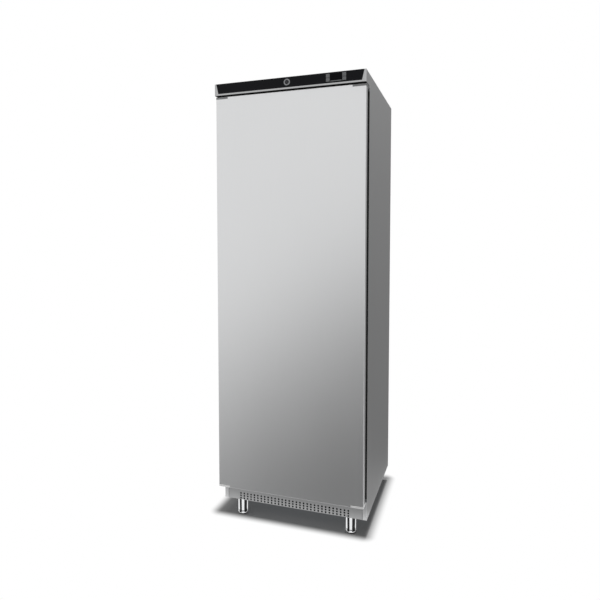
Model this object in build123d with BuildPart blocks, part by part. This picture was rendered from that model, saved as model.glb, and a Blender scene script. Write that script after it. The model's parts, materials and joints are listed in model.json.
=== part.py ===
from build123d import *
import math
import os

# Upright freezer, millimetres. The origin is on the floor under the middle of the object;
# +X is to the right seen from the front, the door faces -Y, +Z is up.

# ---------------------------------------------------------------- driving sizes
width = 600.0
depth = 600.0
height = 1756.0
foot_height = 72.0
sheet = 1.0
fold_radius = 0.8
fit_gap = 0.3

door_side_gap = 1.7
door_thickness = 47.0
door_setback = 8.0
door_top_gap = 4.0
gasket_space = 11.0
kick_space = 72.0
kick_height = 78.0
control_height = 44.5
control_proud = 2.0
rear_proud = 2.0
wall = 50.0
back_wall = 60.0
floor_wall = 45.0
liner_wall = 2.0
liner_radius = 18.0
side_flange = 16.0
rear_flange = 20.0
bay_depth = 215.0
bay_height = 250.0

# ---------------------------------------------------------------- places that pieces share
side_x = width / 2
skin_x = side_x - sheet
front_y = -depth / 2
back_y = depth / 2
panel_y = front_y + control_proud
door_front_y = panel_y + door_setback
door_back_y = door_front_y + door_thickness
cabinet_y = door_back_y + gasket_space
foam_front_y = cabinet_y + sheet
foam_back_y = back_y - rear_proud - sheet
flange_y = foam_back_y - sheet
base_z = foot_height
top_z = height
under_top_z = top_z - sheet
control_z = top_z - control_height
door_top_z = control_z - door_top_gap
door_bottom_z = base_z + kick_space
door_x = side_x - door_side_gap
door_overlap = wall - door_side_gap
opening_x = side_x - wall
opening_bottom_z = door_bottom_z + door_overlap
opening_top_z = door_top_z - door_overlap
flange_x = side_x - side_flange
rear_flange_x = side_x - rear_flange
kick_top_z = base_z + kick_height
bay_front_y = back_y - bay_depth
bay_top_z = base_z + bay_height
liner_back_y = foam_back_y - back_wall
hump_y = bay_front_y - sheet - floor_wall
hump_z = bay_top_z + sheet + floor_wall


def facing(y):
    """The plane at depth y seen from the front; a negative extrusion goes to the back."""
    return Plane(origin=(0, y, 0), x_dir=(1, 0, 0), z_dir=(0, -1, 0))


def block(x_range, y_range, z_range, mode=Mode.ADD):
    """A box given by its limits along X, Y and Z, in the part being built."""
    spans = [sorted(pair) for pair in (x_range, y_range, z_range)]
    middle = [(low + high) / 2 for low, high in spans]
    with Locations(tuple(middle)):
        Box(*[high - low for low, high in spans], mode=mode)


def save(piece, name):
    """Label a finished piece and write it under its name."""
    piece.part.label = name
    export_step(piece.part, f"parts/{name}.step")


def save_group(pieces, name):
    """Write several finished pieces, welded where they touch, as the solids of one node."""
    solids = [solid for piece in pieces for solid in piece.part.solids()]
    export_step(Compound(label=name, children=solids), f"parts/{name}.step")


os.makedirs("parts", exist_ok=True)

# ---------------------------------------------------------------- side panels
# One folded sheet a side: the cheek steps forward at the top to close the control housing.
top_lip = 12.0
with BuildPart() as side_panel_right:
    with BuildSketch(Plane.YZ.offset(skin_x)):
        with BuildLine():
            Polyline(
                (cabinet_y, base_z),
                (foam_back_y, base_z),
                (foam_back_y, top_z),
                (panel_y, top_z),
                (panel_y, control_z),
                (cabinet_y, control_z),
                close=True,
            )
        make_face()
    extrude(amount=sheet)
    block((flange_x, skin_x), (cabinet_y, foam_front_y), (base_z, control_z))
    block((rear_flange_x, skin_x), (flange_y, foam_back_y), (base_z, top_z - top_lip))
    block((rear_flange_x, skin_x), (foam_front_y, flange_y), (base_z, base_z + sheet))
    folds = side_panel_right.edges().filter_by(Axis.Z).group_by(Axis.X)[-1]
    fillet(folds, min(fold_radius, 0.8 * sheet))
save(side_panel_right, "side_panel_right")

with BuildPart() as side_panel_left:
    mirror(side_panel_right.part, about=Plane.YZ)
save(side_panel_left, "side_panel_left")

# ---------------------------------------------------------------- top and back panels
with BuildPart() as top_panel:
    block((-skin_x, skin_x), (panel_y + sheet, foam_back_y), (under_top_z, top_z))
    for side in (-1, 1):
        block(
            (side * (skin_x - sheet), side * skin_x),
            (panel_y + sheet, foam_back_y),
            (top_z - top_lip, under_top_z),
        )
save(top_panel, "top_panel")

back_margin = 3.0
back_panel_z = (bay_top_z + top_z) / 2
with BuildPart() as back_panel:
    with BuildSketch(facing(foam_back_y)):
        with Locations((0, back_panel_z)):
            Rectangle(width - 2 * back_margin, top_z - bay_top_z)
    extrude(amount=-sheet)
save(back_panel, "back_panel")

# ---------------------------------------------------------------- base pan and bay lining
pan_sheet = 1.5
pan_z = base_z + sheet
pan_top_z = pan_z + pan_sheet
pan_front_y = foam_front_y + 1.0
pan_lip = 22.0
with BuildPart() as base_pan:
    block((-skin_x, skin_x), (pan_front_y, flange_y), (pan_z, pan_top_z))
    block(
        (-rear_flange_x, rear_flange_x),
        (pan_front_y, pan_front_y + pan_sheet),
        (pan_top_z, pan_z + pan_lip),
    )
save(base_pan, "base_pan")

with BuildPart() as bay_lining:
    with BuildSketch(Plane.YZ.offset(-skin_x)):
        with BuildLine():
            Polyline(
                (foam_front_y, door_bottom_z),
                (bay_front_y, door_bottom_z),
                (bay_front_y, bay_top_z),
                (flange_y, bay_top_z),
                (flange_y, bay_top_z + sheet),
                (bay_front_y - sheet, bay_top_z + sheet),
                (bay_front_y - sheet, door_bottom_z + sheet),
                (foam_front_y, door_bottom_z + sheet),
                close=True,
            )
        make_face()
    extrude(amount=2 * skin_x)
save(bay_lining, "bay_lining")

# ---------------------------------------------------------------- inner liner and insulation


def compartment(grow):
    """The cold room's hollow, grown by an amount on every closed side, with a hump over the bay."""
    with BuildPart() as room:
        with BuildSketch(Plane.YZ.offset(-opening_x - grow)):
            with BuildLine():
                Polyline(
                    (foam_front_y, opening_bottom_z - grow),
                    (hump_y + grow, opening_bottom_z - grow),
                    (hump_y + grow, hump_z - grow),
                    (liner_back_y + grow, hump_z - grow),
                    (liner_back_y + grow, opening_top_z + grow),
                    (foam_front_y, opening_top_z + grow),
                    close=True,
                )
            make_face()
        extrude(amount=2 * (opening_x + grow))
    return room


with BuildPart() as inner_liner:
    add(compartment(liner_wall).part)
    long_edges = inner_liner.edges().filter_by(Axis.Y).sort_by(Axis.Z)
    fillet(long_edges, liner_radius + liner_wall)
    with BuildPart(mode=Mode.PRIVATE) as hollow:
        add(compartment(0).part)
        fillet(hollow.edges().filter_by(Axis.Y), liner_radius)
    add(hollow.part, mode=Mode.SUBTRACT)
save(inner_liner, "inner_liner")

bolt_pitch = 12.0
bolt_x = flange_x - 6.0
bolt_xs = (bolt_x, bolt_x - bolt_pitch)
with BuildPart() as insulation:
    with BuildSketch(Plane.YZ.offset(-skin_x)):
        with BuildLine():
            Polyline(
                (foam_front_y, door_bottom_z + sheet),
                (bay_front_y - sheet, door_bottom_z + sheet),
                (bay_front_y - sheet, bay_top_z + sheet),
                (foam_back_y, bay_top_z + sheet),
                (foam_back_y, under_top_z),
                (foam_front_y, under_top_z),
                close=True,
            )
        make_face()
    extrude(amount=2 * skin_x)
    add(compartment(liner_wall).part, mode=Mode.SUBTRACT)
    for side in (-1, 1):
        block(
            (side * rear_flange_x, side * skin_x),
            (flange_y, foam_back_y),
            (bay_top_z, top_z - top_lip),
            mode=Mode.SUBTRACT,
        )
        block(
            (side * (skin_x - sheet), side * skin_x),
            (foam_front_y, foam_back_y),
            (top_z - top_lip, under_top_z),
            mode=Mode.SUBTRACT,
        )
save(insulation, "insulation")

# ---------------------------------------------------------------- front frame and kick plate
frame_kick_gap = 0.5
frame_bottom_z = kick_top_z + frame_kick_gap
with BuildPart() as front_frame:
    with BuildSketch(facing(cabinet_y)):
        with Locations((0, (frame_bottom_z + under_top_z) / 2)):
            Rectangle(2 * flange_x, under_top_z - frame_bottom_z)
        with Locations((0, (opening_bottom_z + opening_top_z) / 2)):
            RectangleRounded(
                2 * opening_x,
                opening_top_z - opening_bottom_z,
                liner_radius,
                mode=Mode.SUBTRACT,
            )
    extrude(amount=-sheet)
save(front_frame, "front_frame")

vent_columns = 31
vent_rows = 3
vent_radius = 3.0
vent_pitch_x = 15.2
vent_pitch_z = 10.2
vent_bottom = 6.2
kick_joint = 0.8
kick_lip = 8.0
kick_x = flange_x - kick_joint
with BuildPart() as kick_plate:
    with BuildSketch(facing(cabinet_y)):
        with Locations((0, (base_z + kick_top_z) / 2)):
            Rectangle(2 * kick_x, kick_height)
        with Locations((0, base_z + vent_bottom + vent_pitch_z * (vent_rows - 1) / 2)):
            with GridLocations(vent_pitch_x, vent_pitch_z, vent_columns, vent_rows):
                RegularPolygon(vent_radius, 4, major_radius=False, mode=Mode.SUBTRACT)
    extrude(amount=-sheet)
    block(
        (-rear_flange_x, rear_flange_x),
        (foam_front_y, foam_front_y + kick_lip),
        (base_z, base_z + sheet),
    )
save(kick_plate, "kick_plate")

# ---------------------------------------------------------------- control housing and fascia
strip_margin_top = 6.5
strip_margin_bottom = 15.3
strip_bottom_z = control_z + 6.6
strip_top_x = side_x - strip_margin_top
strip_bottom_x = side_x - strip_margin_bottom
strip_z = (strip_bottom_z + top_z) / 2
lock_z = strip_z
cam_length = 37.0
cam_width = 9.0
cam_thickness = 3.0
cam_y = panel_y + 24.0
cam_clearance = 1.5
cam_slot = (-cam_width / 2 - cam_clearance, cam_length)
control_back_y = cabinet_y


def strip_corners(rim):
    """Corners of the black strip's trapezoid, grown by a rim on its lower three sides."""
    return (
        (-strip_top_x - rim, top_z),
        (strip_top_x + rim, top_z),
        (strip_bottom_x + rim, strip_bottom_z - rim),
        (-strip_bottom_x - rim, strip_bottom_z - rim),
    )


with BuildPart() as control_housing:
    block((-skin_x, skin_x), (panel_y, panel_y + sheet), (control_z, top_z))
    with BuildSketch(facing(panel_y)):
        with BuildLine():
            Polyline(*strip_corners(0), close=True)
        make_face()
    extrude(amount=-sheet, mode=Mode.SUBTRACT)
    block((-skin_x, skin_x), (panel_y + sheet, control_back_y), (control_z, control_z + sheet))
    block(
        cam_slot,
        (cam_y - cam_clearance, cam_y + cam_thickness + cam_clearance),
        (control_z, control_z + sheet),
        mode=Mode.SUBTRACT,
    )
    nose = control_housing.faces().sort_by(Axis.Y)[0]
    fillet(nose.edges().filter_by(Axis.X).sort_by(Axis.Z)[0], min(fold_radius, 0.8 * sheet))
save(control_housing, "control_housing")

fascia_rim = 3.0
fascia_clearance = 0.15
fascia_back = 2.5
controller_set_in = 104.2
controller_x = strip_top_x - controller_set_in
controller_width = 77.7
controller_height = 33.0
controller_depth = 36.0
lock_body_radius = 9.5
with BuildPart() as control_fascia:
    with BuildSketch(facing(panel_y)):
        with BuildLine():
            Polyline(*strip_corners(-fascia_clearance), close=True)
        make_face()
    extrude(amount=-sheet)
    with BuildSketch(facing(panel_y + sheet)):
        with BuildLine():
            Polyline(*strip_corners(fascia_rim), close=True)
        make_face()
        with Locations((0, top_z)):
            Rectangle(width, 2 * sheet, mode=Mode.SUBTRACT)
    extrude(amount=-fascia_back)
    with BuildSketch(facing(panel_y)):
        with Locations((0, lock_z)):
            Circle(lock_body_radius)
        with Locations((controller_x, strip_z)):
            Rectangle(controller_width, controller_height)
    extrude(amount=-(sheet + fascia_back), mode=Mode.SUBTRACT)
save(control_fascia, "control_fascia")

# ---------------------------------------------------------------- controller and its keys
controller_proud = 1.0
controller_front_y = panel_y - controller_proud
key_width = 14.6
key_height = 13.6
key_depth = 4.0
key_proud = control_proud - controller_proud
key_travel = 1.0
key_clearance = 0.35
key_chamfer = 0.5
key_margin = 0.9
key_x = controller_width / 2 - key_margin - key_width / 2
key_pitch_z = key_height + key_margin
key_names = {
    "key_up": (-key_x, key_pitch_z / 2),
    "key_down": (-key_x, -key_pitch_z / 2),
    "key_power": (key_x, key_pitch_z / 2),
    "key_set": (key_x, -key_pitch_z / 2),
}
display_width = 44.0
display_height = 23.0
display_depth = 1.6
display_lift = 1.6

with BuildPart() as controller_case:
    with BuildSketch(facing(controller_front_y)):
        with Locations((controller_x, strip_z)):
            Rectangle(controller_width, controller_height)
    extrude(amount=-controller_depth)
    with BuildSketch(facing(controller_front_y)):
        with Locations((controller_x, strip_z + display_lift)):
            Rectangle(display_width, display_height)
    extrude(amount=-display_depth, mode=Mode.SUBTRACT)
    with BuildSketch(facing(controller_front_y)):
        with Locations(*[(controller_x + x, strip_z + z) for x, z in key_names.values()]):
            Rectangle(key_width + 2 * key_clearance, key_height + 2 * key_clearance)
    extrude(amount=-(key_depth - key_proud + key_travel + fit_gap), mode=Mode.SUBTRACT)
save(controller_case, "controller_case")

with BuildPart() as display_window:
    with BuildSketch(facing(controller_front_y)):
        with Locations((controller_x, strip_z + display_lift)):
            Rectangle(display_width, display_height)
    extrude(amount=-display_depth)
save(display_window, "display_window")

for key_name, (offset_x, offset_z) in key_names.items():
    with BuildPart() as key:
        with BuildSketch(facing(front_y)):
            with Locations((controller_x + offset_x, strip_z + offset_z)):
                Rectangle(key_width, key_height)
        extrude(amount=-key_depth)
        chamfer(key.faces().sort_by(Axis.Y)[0].edges(), key_chamfer)
    save(key, key_name)

# ---------------------------------------------------------------- key lock
lock_rim_radius = 12.5
lock_rim_height = control_proud
lock_bore = 7.3
lock_plug_radius = 7.0
lock_spindle = 4.0
spindle_proud = 2.0
lock_sides = 24
keyhole = (2.0, 9.0)
keyhole_depth = 8.0
with BuildPart() as lock_body:
    with BuildSketch(facing(front_y)):
        with Locations((0, lock_z)):
            RegularPolygon(lock_rim_radius, lock_sides)
    extrude(amount=-lock_rim_height)
    with BuildSketch(facing(panel_y)):
        with Locations((0, lock_z)):
            RegularPolygon(lock_body_radius, lock_sides)
    extrude(amount=-(cam_y - fit_gap - panel_y))
    with BuildSketch(facing(front_y)):
        with Locations((0, lock_z)):
            RegularPolygon(lock_bore, lock_sides, major_radius=False)
    extrude(amount=-(cam_y - front_y), mode=Mode.SUBTRACT)
save(lock_body, "lock_body")

with BuildPart() as lock_plug:
    with BuildSketch(facing(front_y + fit_gap)):
        with Locations((0, lock_z)):
            RegularPolygon(lock_plug_radius, lock_sides)
    extrude(amount=-(cam_y - front_y - fit_gap))
    with BuildSketch(facing(cam_y)):
        with Locations((0, lock_z)):
            Rectangle(lock_spindle, lock_spindle)
    extrude(amount=-(cam_thickness + spindle_proud))
    with BuildSketch(facing(front_y)):
        with Locations((0, lock_z)):
            Rectangle(*keyhole)
    extrude(amount=-keyhole_depth, mode=Mode.SUBTRACT)
save(lock_plug, "lock_plug")

with BuildPart() as lock_cam:
    with BuildSketch(facing(cam_y)):
        with Locations((cam_length / 2 - cam_width / 4, lock_z)):
            SlotOverall(cam_length + cam_width / 2, cam_width)
        with Locations((0, lock_z)):
            Rectangle(lock_spindle, lock_spindle, mode=Mode.SUBTRACT)
    extrude(amount=-cam_thickness)
save(lock_cam, "lock_cam")

# ---------------------------------------------------------------- hinge line
pin_radius = 4.0
pin_length = 18.0
bush_radius = 7.0
bush_bore = pin_radius + fit_gap
bush_length = 22.0
bush_flange_radius = 9.0
hinge_x = flange_x
hinge_y = (door_front_y + door_back_y) / 2
bracket_sheet = 3.0
bracket_inner_x = hinge_x - 26.0
bracket_outer_x = skin_x - fold_radius
bracket_front_y = hinge_y - 10.0
bracket_leaf = 15.0
door_bottom_gap = 2.0
bracket_planes = {
    "hinge_bracket_top": (control_z, -1),
    "hinge_bracket_bottom": (door_bottom_z - door_bottom_gap - bracket_sheet, 1),
}
bolt_head = 4.0
bolt_head_height = 2.4

for bracket_name, (face_z, toward_door) in bracket_planes.items():
    pin_z = face_z + toward_door * bracket_sheet
    leaf_end_z = pin_z + toward_door * bracket_leaf
    with BuildPart() as hinge_bracket:
        with BuildSketch(Plane.XY.offset(face_z)):
            with BuildLine():
                Polyline(
                    (bracket_inner_x, cabinet_y),
                    (bracket_inner_x, hinge_y + bush_flange_radius),
                    (hinge_x - bush_flange_radius, bracket_front_y),
                    (bracket_outer_x, bracket_front_y),
                    (bracket_outer_x, cabinet_y),
                    close=True,
                )
            make_face()
        extrude(amount=toward_door * bracket_sheet)
        block(
            (bracket_inner_x, bracket_outer_x),
            (cabinet_y - bracket_sheet, cabinet_y),
            (face_z, leaf_end_z),
        )
        with BuildSketch(Plane.XY.offset(pin_z)):
            with Locations((hinge_x, hinge_y)):
                Circle(pin_radius)
        extrude(amount=toward_door * pin_length)
    save(hinge_bracket, bracket_name)

with BuildPart() as hinge_bolts:
    for face_z, toward_door in bracket_planes.values():
        bolt_z = face_z + toward_door * (bracket_sheet + bracket_leaf / 2)
        with BuildSketch(facing(cabinet_y - bracket_sheet)):
            with Locations(*[(x, bolt_z) for x in bolt_xs]):
                RegularPolygon(bolt_head, 6)
        extrude(amount=bolt_head_height)
save(hinge_bolts, "hinge_bolts")

# ---------------------------------------------------------------- door skin and its corner caps
door_fold = 12.0
cap_width = 49.5
cap_height = 8.0
cap_joint = 0.4
cap_lug = 6.0
cap_lug_inset = 6.0
cap_round = 1.6
door_inner_x = door_x - sheet
door_mid_z = (door_bottom_z + door_top_z) / 2
door_height = door_top_z - door_bottom_z
grip_z = 1010.0
grip_height = 260.0
grip_width = 26.0
grip_depth = 20.0
grip_wall = 2.0
grip_y = hinge_y + 2.0
keeper_width = 10.0
keeper_depth = 12.0
keeper_wall = 1.2
keeper_length = cam_slot[1] - cam_slot[0] + 2 * keeper_wall
keeper_x = (cam_slot[0] + cam_slot[1]) / 2
keeper_y = cam_y + cam_thickness / 2
corners = [(side, end) for side in (-1, 1) for end in (-1, 1)]


def corner_limits(side, end, length, low, high):
    """X and Z limits of a piece at one corner of the door: its length inwards, and its depth span."""
    edge_z = door_top_z if end > 0 else door_bottom_z
    return (side * door_x, side * (door_x - length)), (edge_z - end * low, edge_z - end * high)


with BuildPart() as door_skin:
    block((-door_x, door_x), (door_front_y, door_back_y), (door_bottom_z, door_top_z))
    front_face = door_skin.faces().sort_by(Axis.Y)[0]
    fillet(front_face.edges(), cap_round)
    block(
        (-door_inner_x, door_inner_x),
        (door_front_y + sheet, door_back_y - sheet),
        (door_bottom_z + sheet, door_top_z - sheet),
        mode=Mode.SUBTRACT,
    )
    block(
        (-door_x + door_fold, door_x - door_fold),
        (door_back_y - sheet, door_back_y),
        (door_bottom_z + door_fold, door_top_z - door_fold),
        mode=Mode.SUBTRACT,
    )
    for side, end in corners:
        notch_x, notch_z = corner_limits(side, end, cap_width, 0, cap_height)
        block(notch_x, (door_front_y, door_back_y), notch_z, mode=Mode.SUBTRACT)
    block(
        (-door_x, -door_inner_x),
        (grip_y - grip_width / 2, grip_y + grip_width / 2),
        (grip_z - grip_height / 2, grip_z + grip_height / 2),
        mode=Mode.SUBTRACT,
    )
    with BuildSketch(Plane.XY.offset(door_top_z - sheet)):
        with Locations((keeper_x, keeper_y)):
            Rectangle(keeper_length, keeper_width)
    extrude(amount=sheet, mode=Mode.SUBTRACT)
save(door_skin, "door_skin")

with BuildPart() as corner_caps:
    for side, end in corners:
        cap_x, cap_z = corner_limits(side, end, cap_width - cap_joint, 0, cap_height - cap_joint)
        block(cap_x, (door_front_y, door_back_y), cap_z)
        lug_x, lug_z = corner_limits(side, end, cap_width - cap_lug_inset, 0, cap_height + cap_lug)
        lug_x = (side * (door_x - cap_lug_inset), lug_x[1])
        block(lug_x, (door_front_y + cap_lug_inset, door_back_y - cap_lug_inset), lug_z)
    with BuildSketch(Plane.XY.offset(door_bottom_z)):
        with Locations((hinge_x, hinge_y)):
            RegularPolygon(bush_radius, 6)
    extrude(amount=door_height, mode=Mode.SUBTRACT)
save(corner_caps, "corner_caps")

with BuildPart() as hinge_bushes:
    for edge_z, inward, flange in (
        (door_bottom_z, 1, door_bottom_gap - fit_gap),
        (door_top_z, -1, door_top_gap - bracket_sheet - fit_gap),
    ):
        with BuildSketch(Plane.XY.offset(edge_z)):
            with Locations((hinge_x, hinge_y)):
                RegularPolygon(bush_radius, 6)
        extrude(amount=inward * bush_length)
        with BuildSketch(Plane.XY.offset(edge_z)):
            with Locations((hinge_x, hinge_y)):
                RegularPolygon(bush_flange_radius, 6)
        extrude(amount=-inward * flange)
        with BuildSketch(Plane.XY.offset(edge_z - inward * flange)):
            with Locations((hinge_x, hinge_y)):
                Circle(bush_bore)
        extrude(amount=inward * (pin_length + flange), mode=Mode.SUBTRACT)
save(hinge_bushes, "hinge_bushes")

# ---------------------------------------------------------------- grip and lock keeper in the door
with BuildPart() as door_grip:
    block(
        (-door_x, -door_x + grip_depth),
        (grip_y - grip_width / 2, grip_y + grip_width / 2),
        (grip_z - grip_height / 2, grip_z + grip_height / 2),
    )
    mouth = door_grip.faces().sort_by(Axis.X)[0]
    offset(amount=-grip_wall, openings=mouth)
save(door_grip, "door_grip")

with BuildPart() as lock_keeper:
    with BuildSketch(Plane.XY.offset(door_top_z)):
        with Locations((keeper_x, keeper_y)):
            Rectangle(keeper_length, keeper_width)
    extrude(amount=-keeper_depth)
    cup_mouth = lock_keeper.faces().sort_by(Axis.Z)[-1]
    offset(amount=-keeper_wall, openings=cup_mouth)
save(lock_keeper, "lock_keeper")

# ---------------------------------------------------------------- door liner, foam and gasket
gasket_inset = 15.0
gasket_width = 22.0
door_liner_inset = 8.0
door_liner_corner = 6.0
plug_depth = 29.0
plug_margin = 20.0
plug_taper = 12.0
plug_x = opening_x - plug_margin
plug_height = opening_top_z - opening_bottom_z - 2 * plug_margin
plug_z = (opening_top_z + opening_bottom_z) / 2
liner_front_y = door_back_y
liner_face_y = door_back_y + liner_wall

with BuildPart() as door_liner:
    with BuildSketch(facing(liner_front_y)):
        with Locations((0, door_mid_z)):
            RectangleRounded(
                2 * (door_x - door_liner_inset),
                door_height - 2 * door_liner_inset,
                door_liner_corner,
            )
    extrude(amount=-liner_wall)
    with BuildSketch(facing(liner_face_y)):
        with Locations((0, plug_z)):
            raised = Rectangle(2 * plug_x, plug_height)
        chamfer(raised.vertices(), liner_radius)
    extrude(amount=-plug_depth, taper=plug_taper)
    with BuildSketch(facing(liner_front_y)):
        with Locations((0, plug_z)):
            hollow = Rectangle(2 * (plug_x - liner_wall), plug_height - 2 * liner_wall)
        chamfer(hollow.vertices(), liner_radius)
    extrude(amount=-plug_depth, taper=plug_taper, mode=Mode.SUBTRACT)
save(door_liner, "door_liner")

with BuildPart() as door_foam:
    block(
        (-door_inner_x, door_inner_x),
        (door_front_y + sheet, door_back_y - sheet),
        (door_bottom_z + sheet, door_top_z - sheet),
    )
    block(
        (-door_x + door_fold, door_x - door_fold),
        (door_back_y - sheet, door_back_y),
        (door_bottom_z + door_fold, door_top_z - door_fold),
    )
    with BuildSketch(facing(liner_front_y)):
        with Locations((0, plug_z)):
            foam_plug = Rectangle(2 * (plug_x - liner_wall), plug_height - 2 * liner_wall)
        chamfer(foam_plug.vertices(), liner_radius)
    extrude(amount=-plug_depth, taper=plug_taper)
    for side, end in corners:
        notch_x, notch_z = corner_limits(side, end, cap_width, 0, cap_height)
        block(notch_x, (door_front_y, door_back_y), notch_z, mode=Mode.SUBTRACT)
        lug_x, lug_z = corner_limits(side, end, cap_width - cap_lug_inset, 0, cap_height + cap_lug)
        lug_x = (side * (door_x - cap_lug_inset), lug_x[1])
        block(
            lug_x,
            (door_front_y + cap_lug_inset, door_back_y - cap_lug_inset),
            lug_z,
            mode=Mode.SUBTRACT,
        )
    for edge_z in (door_bottom_z, door_top_z):
        with BuildSketch(Plane.XY.offset(edge_z - bush_length)):
            with Locations((hinge_x, hinge_y)):
                RegularPolygon(bush_radius, 6)
        extrude(amount=2 * bush_length, mode=Mode.SUBTRACT)
    block(
        (-door_x, -door_x + grip_depth),
        (grip_y - grip_width / 2, grip_y + grip_width / 2),
        (grip_z - grip_height / 2, grip_z + grip_height / 2),
        mode=Mode.SUBTRACT,
    )
    block(
        (keeper_x - keeper_length / 2, keeper_x + keeper_length / 2),
        (keeper_y - keeper_width / 2, keeper_y + keeper_width / 2),
        (door_top_z - keeper_depth, door_top_z),
        mode=Mode.SUBTRACT,
    )
save(door_foam, "door_foam")

gasket_layers = (
    (0.0, 3.0, 0.0),
    (3.0, 5.0, 4.5),
    (5.0, None, 1.0),
)
gasket_end_y = cabinet_y - fit_gap
with BuildPart() as door_gasket:
    for start, stop, draw_in in gasket_layers:
        layer_front_y = liner_face_y + start
        layer_back_y = gasket_end_y if stop is None else liner_face_y + stop
        edge = gasket_inset + draw_in
        with BuildSketch(facing(layer_front_y)):
            with Locations((0, door_mid_z)):
                Rectangle(2 * (door_x - edge), door_height - 2 * edge)
                Rectangle(
                    2 * (door_x - edge - gasket_width + 2 * draw_in),
                    door_height - 2 * (edge + gasket_width - 2 * draw_in),
                    mode=Mode.SUBTRACT,
                )
        extrude(amount=-(layer_back_y - layer_front_y))
save(door_gasket, "door_gasket")

# ---------------------------------------------------------------- wire-and-tube shelves
# Six fixed shelves carry the refrigerant: one tube winds through each, wires are welded on top.
shelf_count = 6
shelf_front_gap = 12.0
shelf_back_gap = 12.0
tube_half = 4.0
tube_runs = 4
tube_end_gap = 18.0
tube_bend_gap = 26.0
tube_edge = 25.0
bend_radius = 30.0
bend_steps = 3
wire = 3.2
wire_count = 15
wire_edge = 6.0
rail_inset = 5.0
clip_reach = 14.0
clip_length = 14.0
clip_drop = 12.0
clip_lip = 7.0
clip_nib = 1.0
clip_foot = 3.0

shelf_over_hump = liner_radius + clip_drop
shelf_pitch = (opening_top_z - hump_z - shelf_over_hump) / shelf_count
shelf_levels = [hump_z + shelf_over_hump + i * shelf_pitch for i in range(shelf_count)]
shelf_front_y = liner_face_y + plug_depth + shelf_front_gap
shelf_back_y = liner_back_y - shelf_back_gap
shelf_y = (shelf_front_y + shelf_back_y) / 2
shelf_depth = shelf_back_y - shelf_front_y
run_pitch = (shelf_depth - 2 * tube_edge) / (tube_runs - 1)
run_ys = [shelf_back_y - tube_edge - i * run_pitch for i in range(tube_runs)]
tube_end_x = opening_x - tube_end_gap
tube_bend_x = opening_x - tube_bend_gap
tube_exit_side = 1 if tube_runs % 2 == 0 else -1
outer_wire_x = opening_x - wire_edge
wire_pitch = 2 * outer_wire_x / (wire_count - 1)


def winding(first, last, runs, level):
    """Points of a tube that winds from run to run, turning at the two ends in alternation."""
    points = [(first, runs[0])]
    side = -1
    for near, far in zip(runs, runs[1:]):
        points += [(side * level, near), (side * level, far)]
        side = -side
    return points + [(last, runs[-1])]


def eased(points, radius):
    """The same right-angled route with each corner turned in equal steps about a radius."""
    route = [points[0]]
    for before, corner, after in zip(points, points[1:], points[2:]):
        arriving = (Vector(*corner) - Vector(*before)).normalized()
        leaving = (Vector(*after) - Vector(*corner)).normalized()
        centre = Vector(*corner) + (leaving - arriving) * radius
        for step in range(bend_steps + 1):
            turn = math.radians(90.0 * step / bend_steps)
            spot = centre + (arriving * math.sin(turn) - leaving * math.cos(turn)) * radius
            route.append((spot.X, spot.Y))
    return route + [points[-1]]


shelf_winding = winding(tube_end_x, tube_exit_side * tube_end_x, run_ys, tube_bend_x)
for index, level_z in enumerate(shelf_levels):
    with BuildPart() as shelf:
        with BuildLine(Plane.XY.offset(level_z)) as tube_path:
            Polyline(*eased(shelf_winding, bend_radius))
        with BuildSketch(Plane(origin=(tube_end_x, run_ys[0], level_z), z_dir=(-1, 0, 0))):
            RegularPolygon(tube_half, 6, major_radius=False, rotation=30)
        sweep(path=tube_path.wires()[0], transition=Transition.RIGHT)
    with BuildPart() as wires:
        with Locations((0, shelf_y, level_z + tube_half + wire / 2)):
            with GridLocations(wire_pitch, 0, wire_count, 1):
                Box(wire, shelf_depth, wire)
    with BuildPart() as rails:
        with Locations((0, shelf_y, level_z + tube_half + 1.5 * wire)):
            with GridLocations(0, shelf_depth - 2 * rail_inset, 1, 2):
                Box(2 * outer_wire_x + wire, wire, wire)
    save_group((shelf, wires, rails), f"shelf_{index + 1}")

with BuildPart() as shelf_risers:
    for index, (low_z, high_z) in enumerate(zip(shelf_levels, shelf_levels[1:])):
        side, run_y = (tube_exit_side, run_ys[-1]) if index % 2 == 0 else (1, run_ys[0])
        with BuildSketch(Plane.XY.offset(low_z - tube_half)):
            with Locations((side * (tube_end_x + tube_half), run_y)):
                RegularPolygon(tube_half, 6, major_radius=False, rotation=30)
        extrude(amount=high_z - low_z + 2 * tube_half)
    for level_z in (shelf_levels[0], shelf_levels[-1]):
        with BuildSketch(facing(run_ys[0] - tube_half)):
            with Locations((tube_end_x + tube_half, level_z)):
                RegularPolygon(tube_half, 6, major_radius=False, rotation=30)
        extrude(amount=-(liner_back_y - run_ys[0] + tube_half))
save(shelf_risers, "shelf_risers")

clip_ys = ((run_ys[0] + run_ys[1]) / 2, (run_ys[-1] + run_ys[-2]) / 2)
with BuildPart() as shelf_clips:
    for level_z in shelf_levels:
        seat_z = level_z + tube_half
        for side in (-1, 1):
            for clip_y in clip_ys:
                with BuildSketch(facing(clip_y - clip_length / 2)):
                    with BuildLine():
                        Polyline(
                            (side * opening_x, seat_z + clip_lip),
                            (side * (outer_wire_x + wire / 2), seat_z + clip_lip - clip_nib),
                            (side * (outer_wire_x + wire / 2), seat_z),
                            (side * (opening_x - clip_reach), seat_z),
                            (side * (opening_x - clip_reach), seat_z - clip_foot),
                            (side * opening_x, seat_z - clip_drop),
                            close=True,
                        )
                    make_face()
                extrude(amount=-clip_length)
save(shelf_clips, "shelf_clips")

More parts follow.
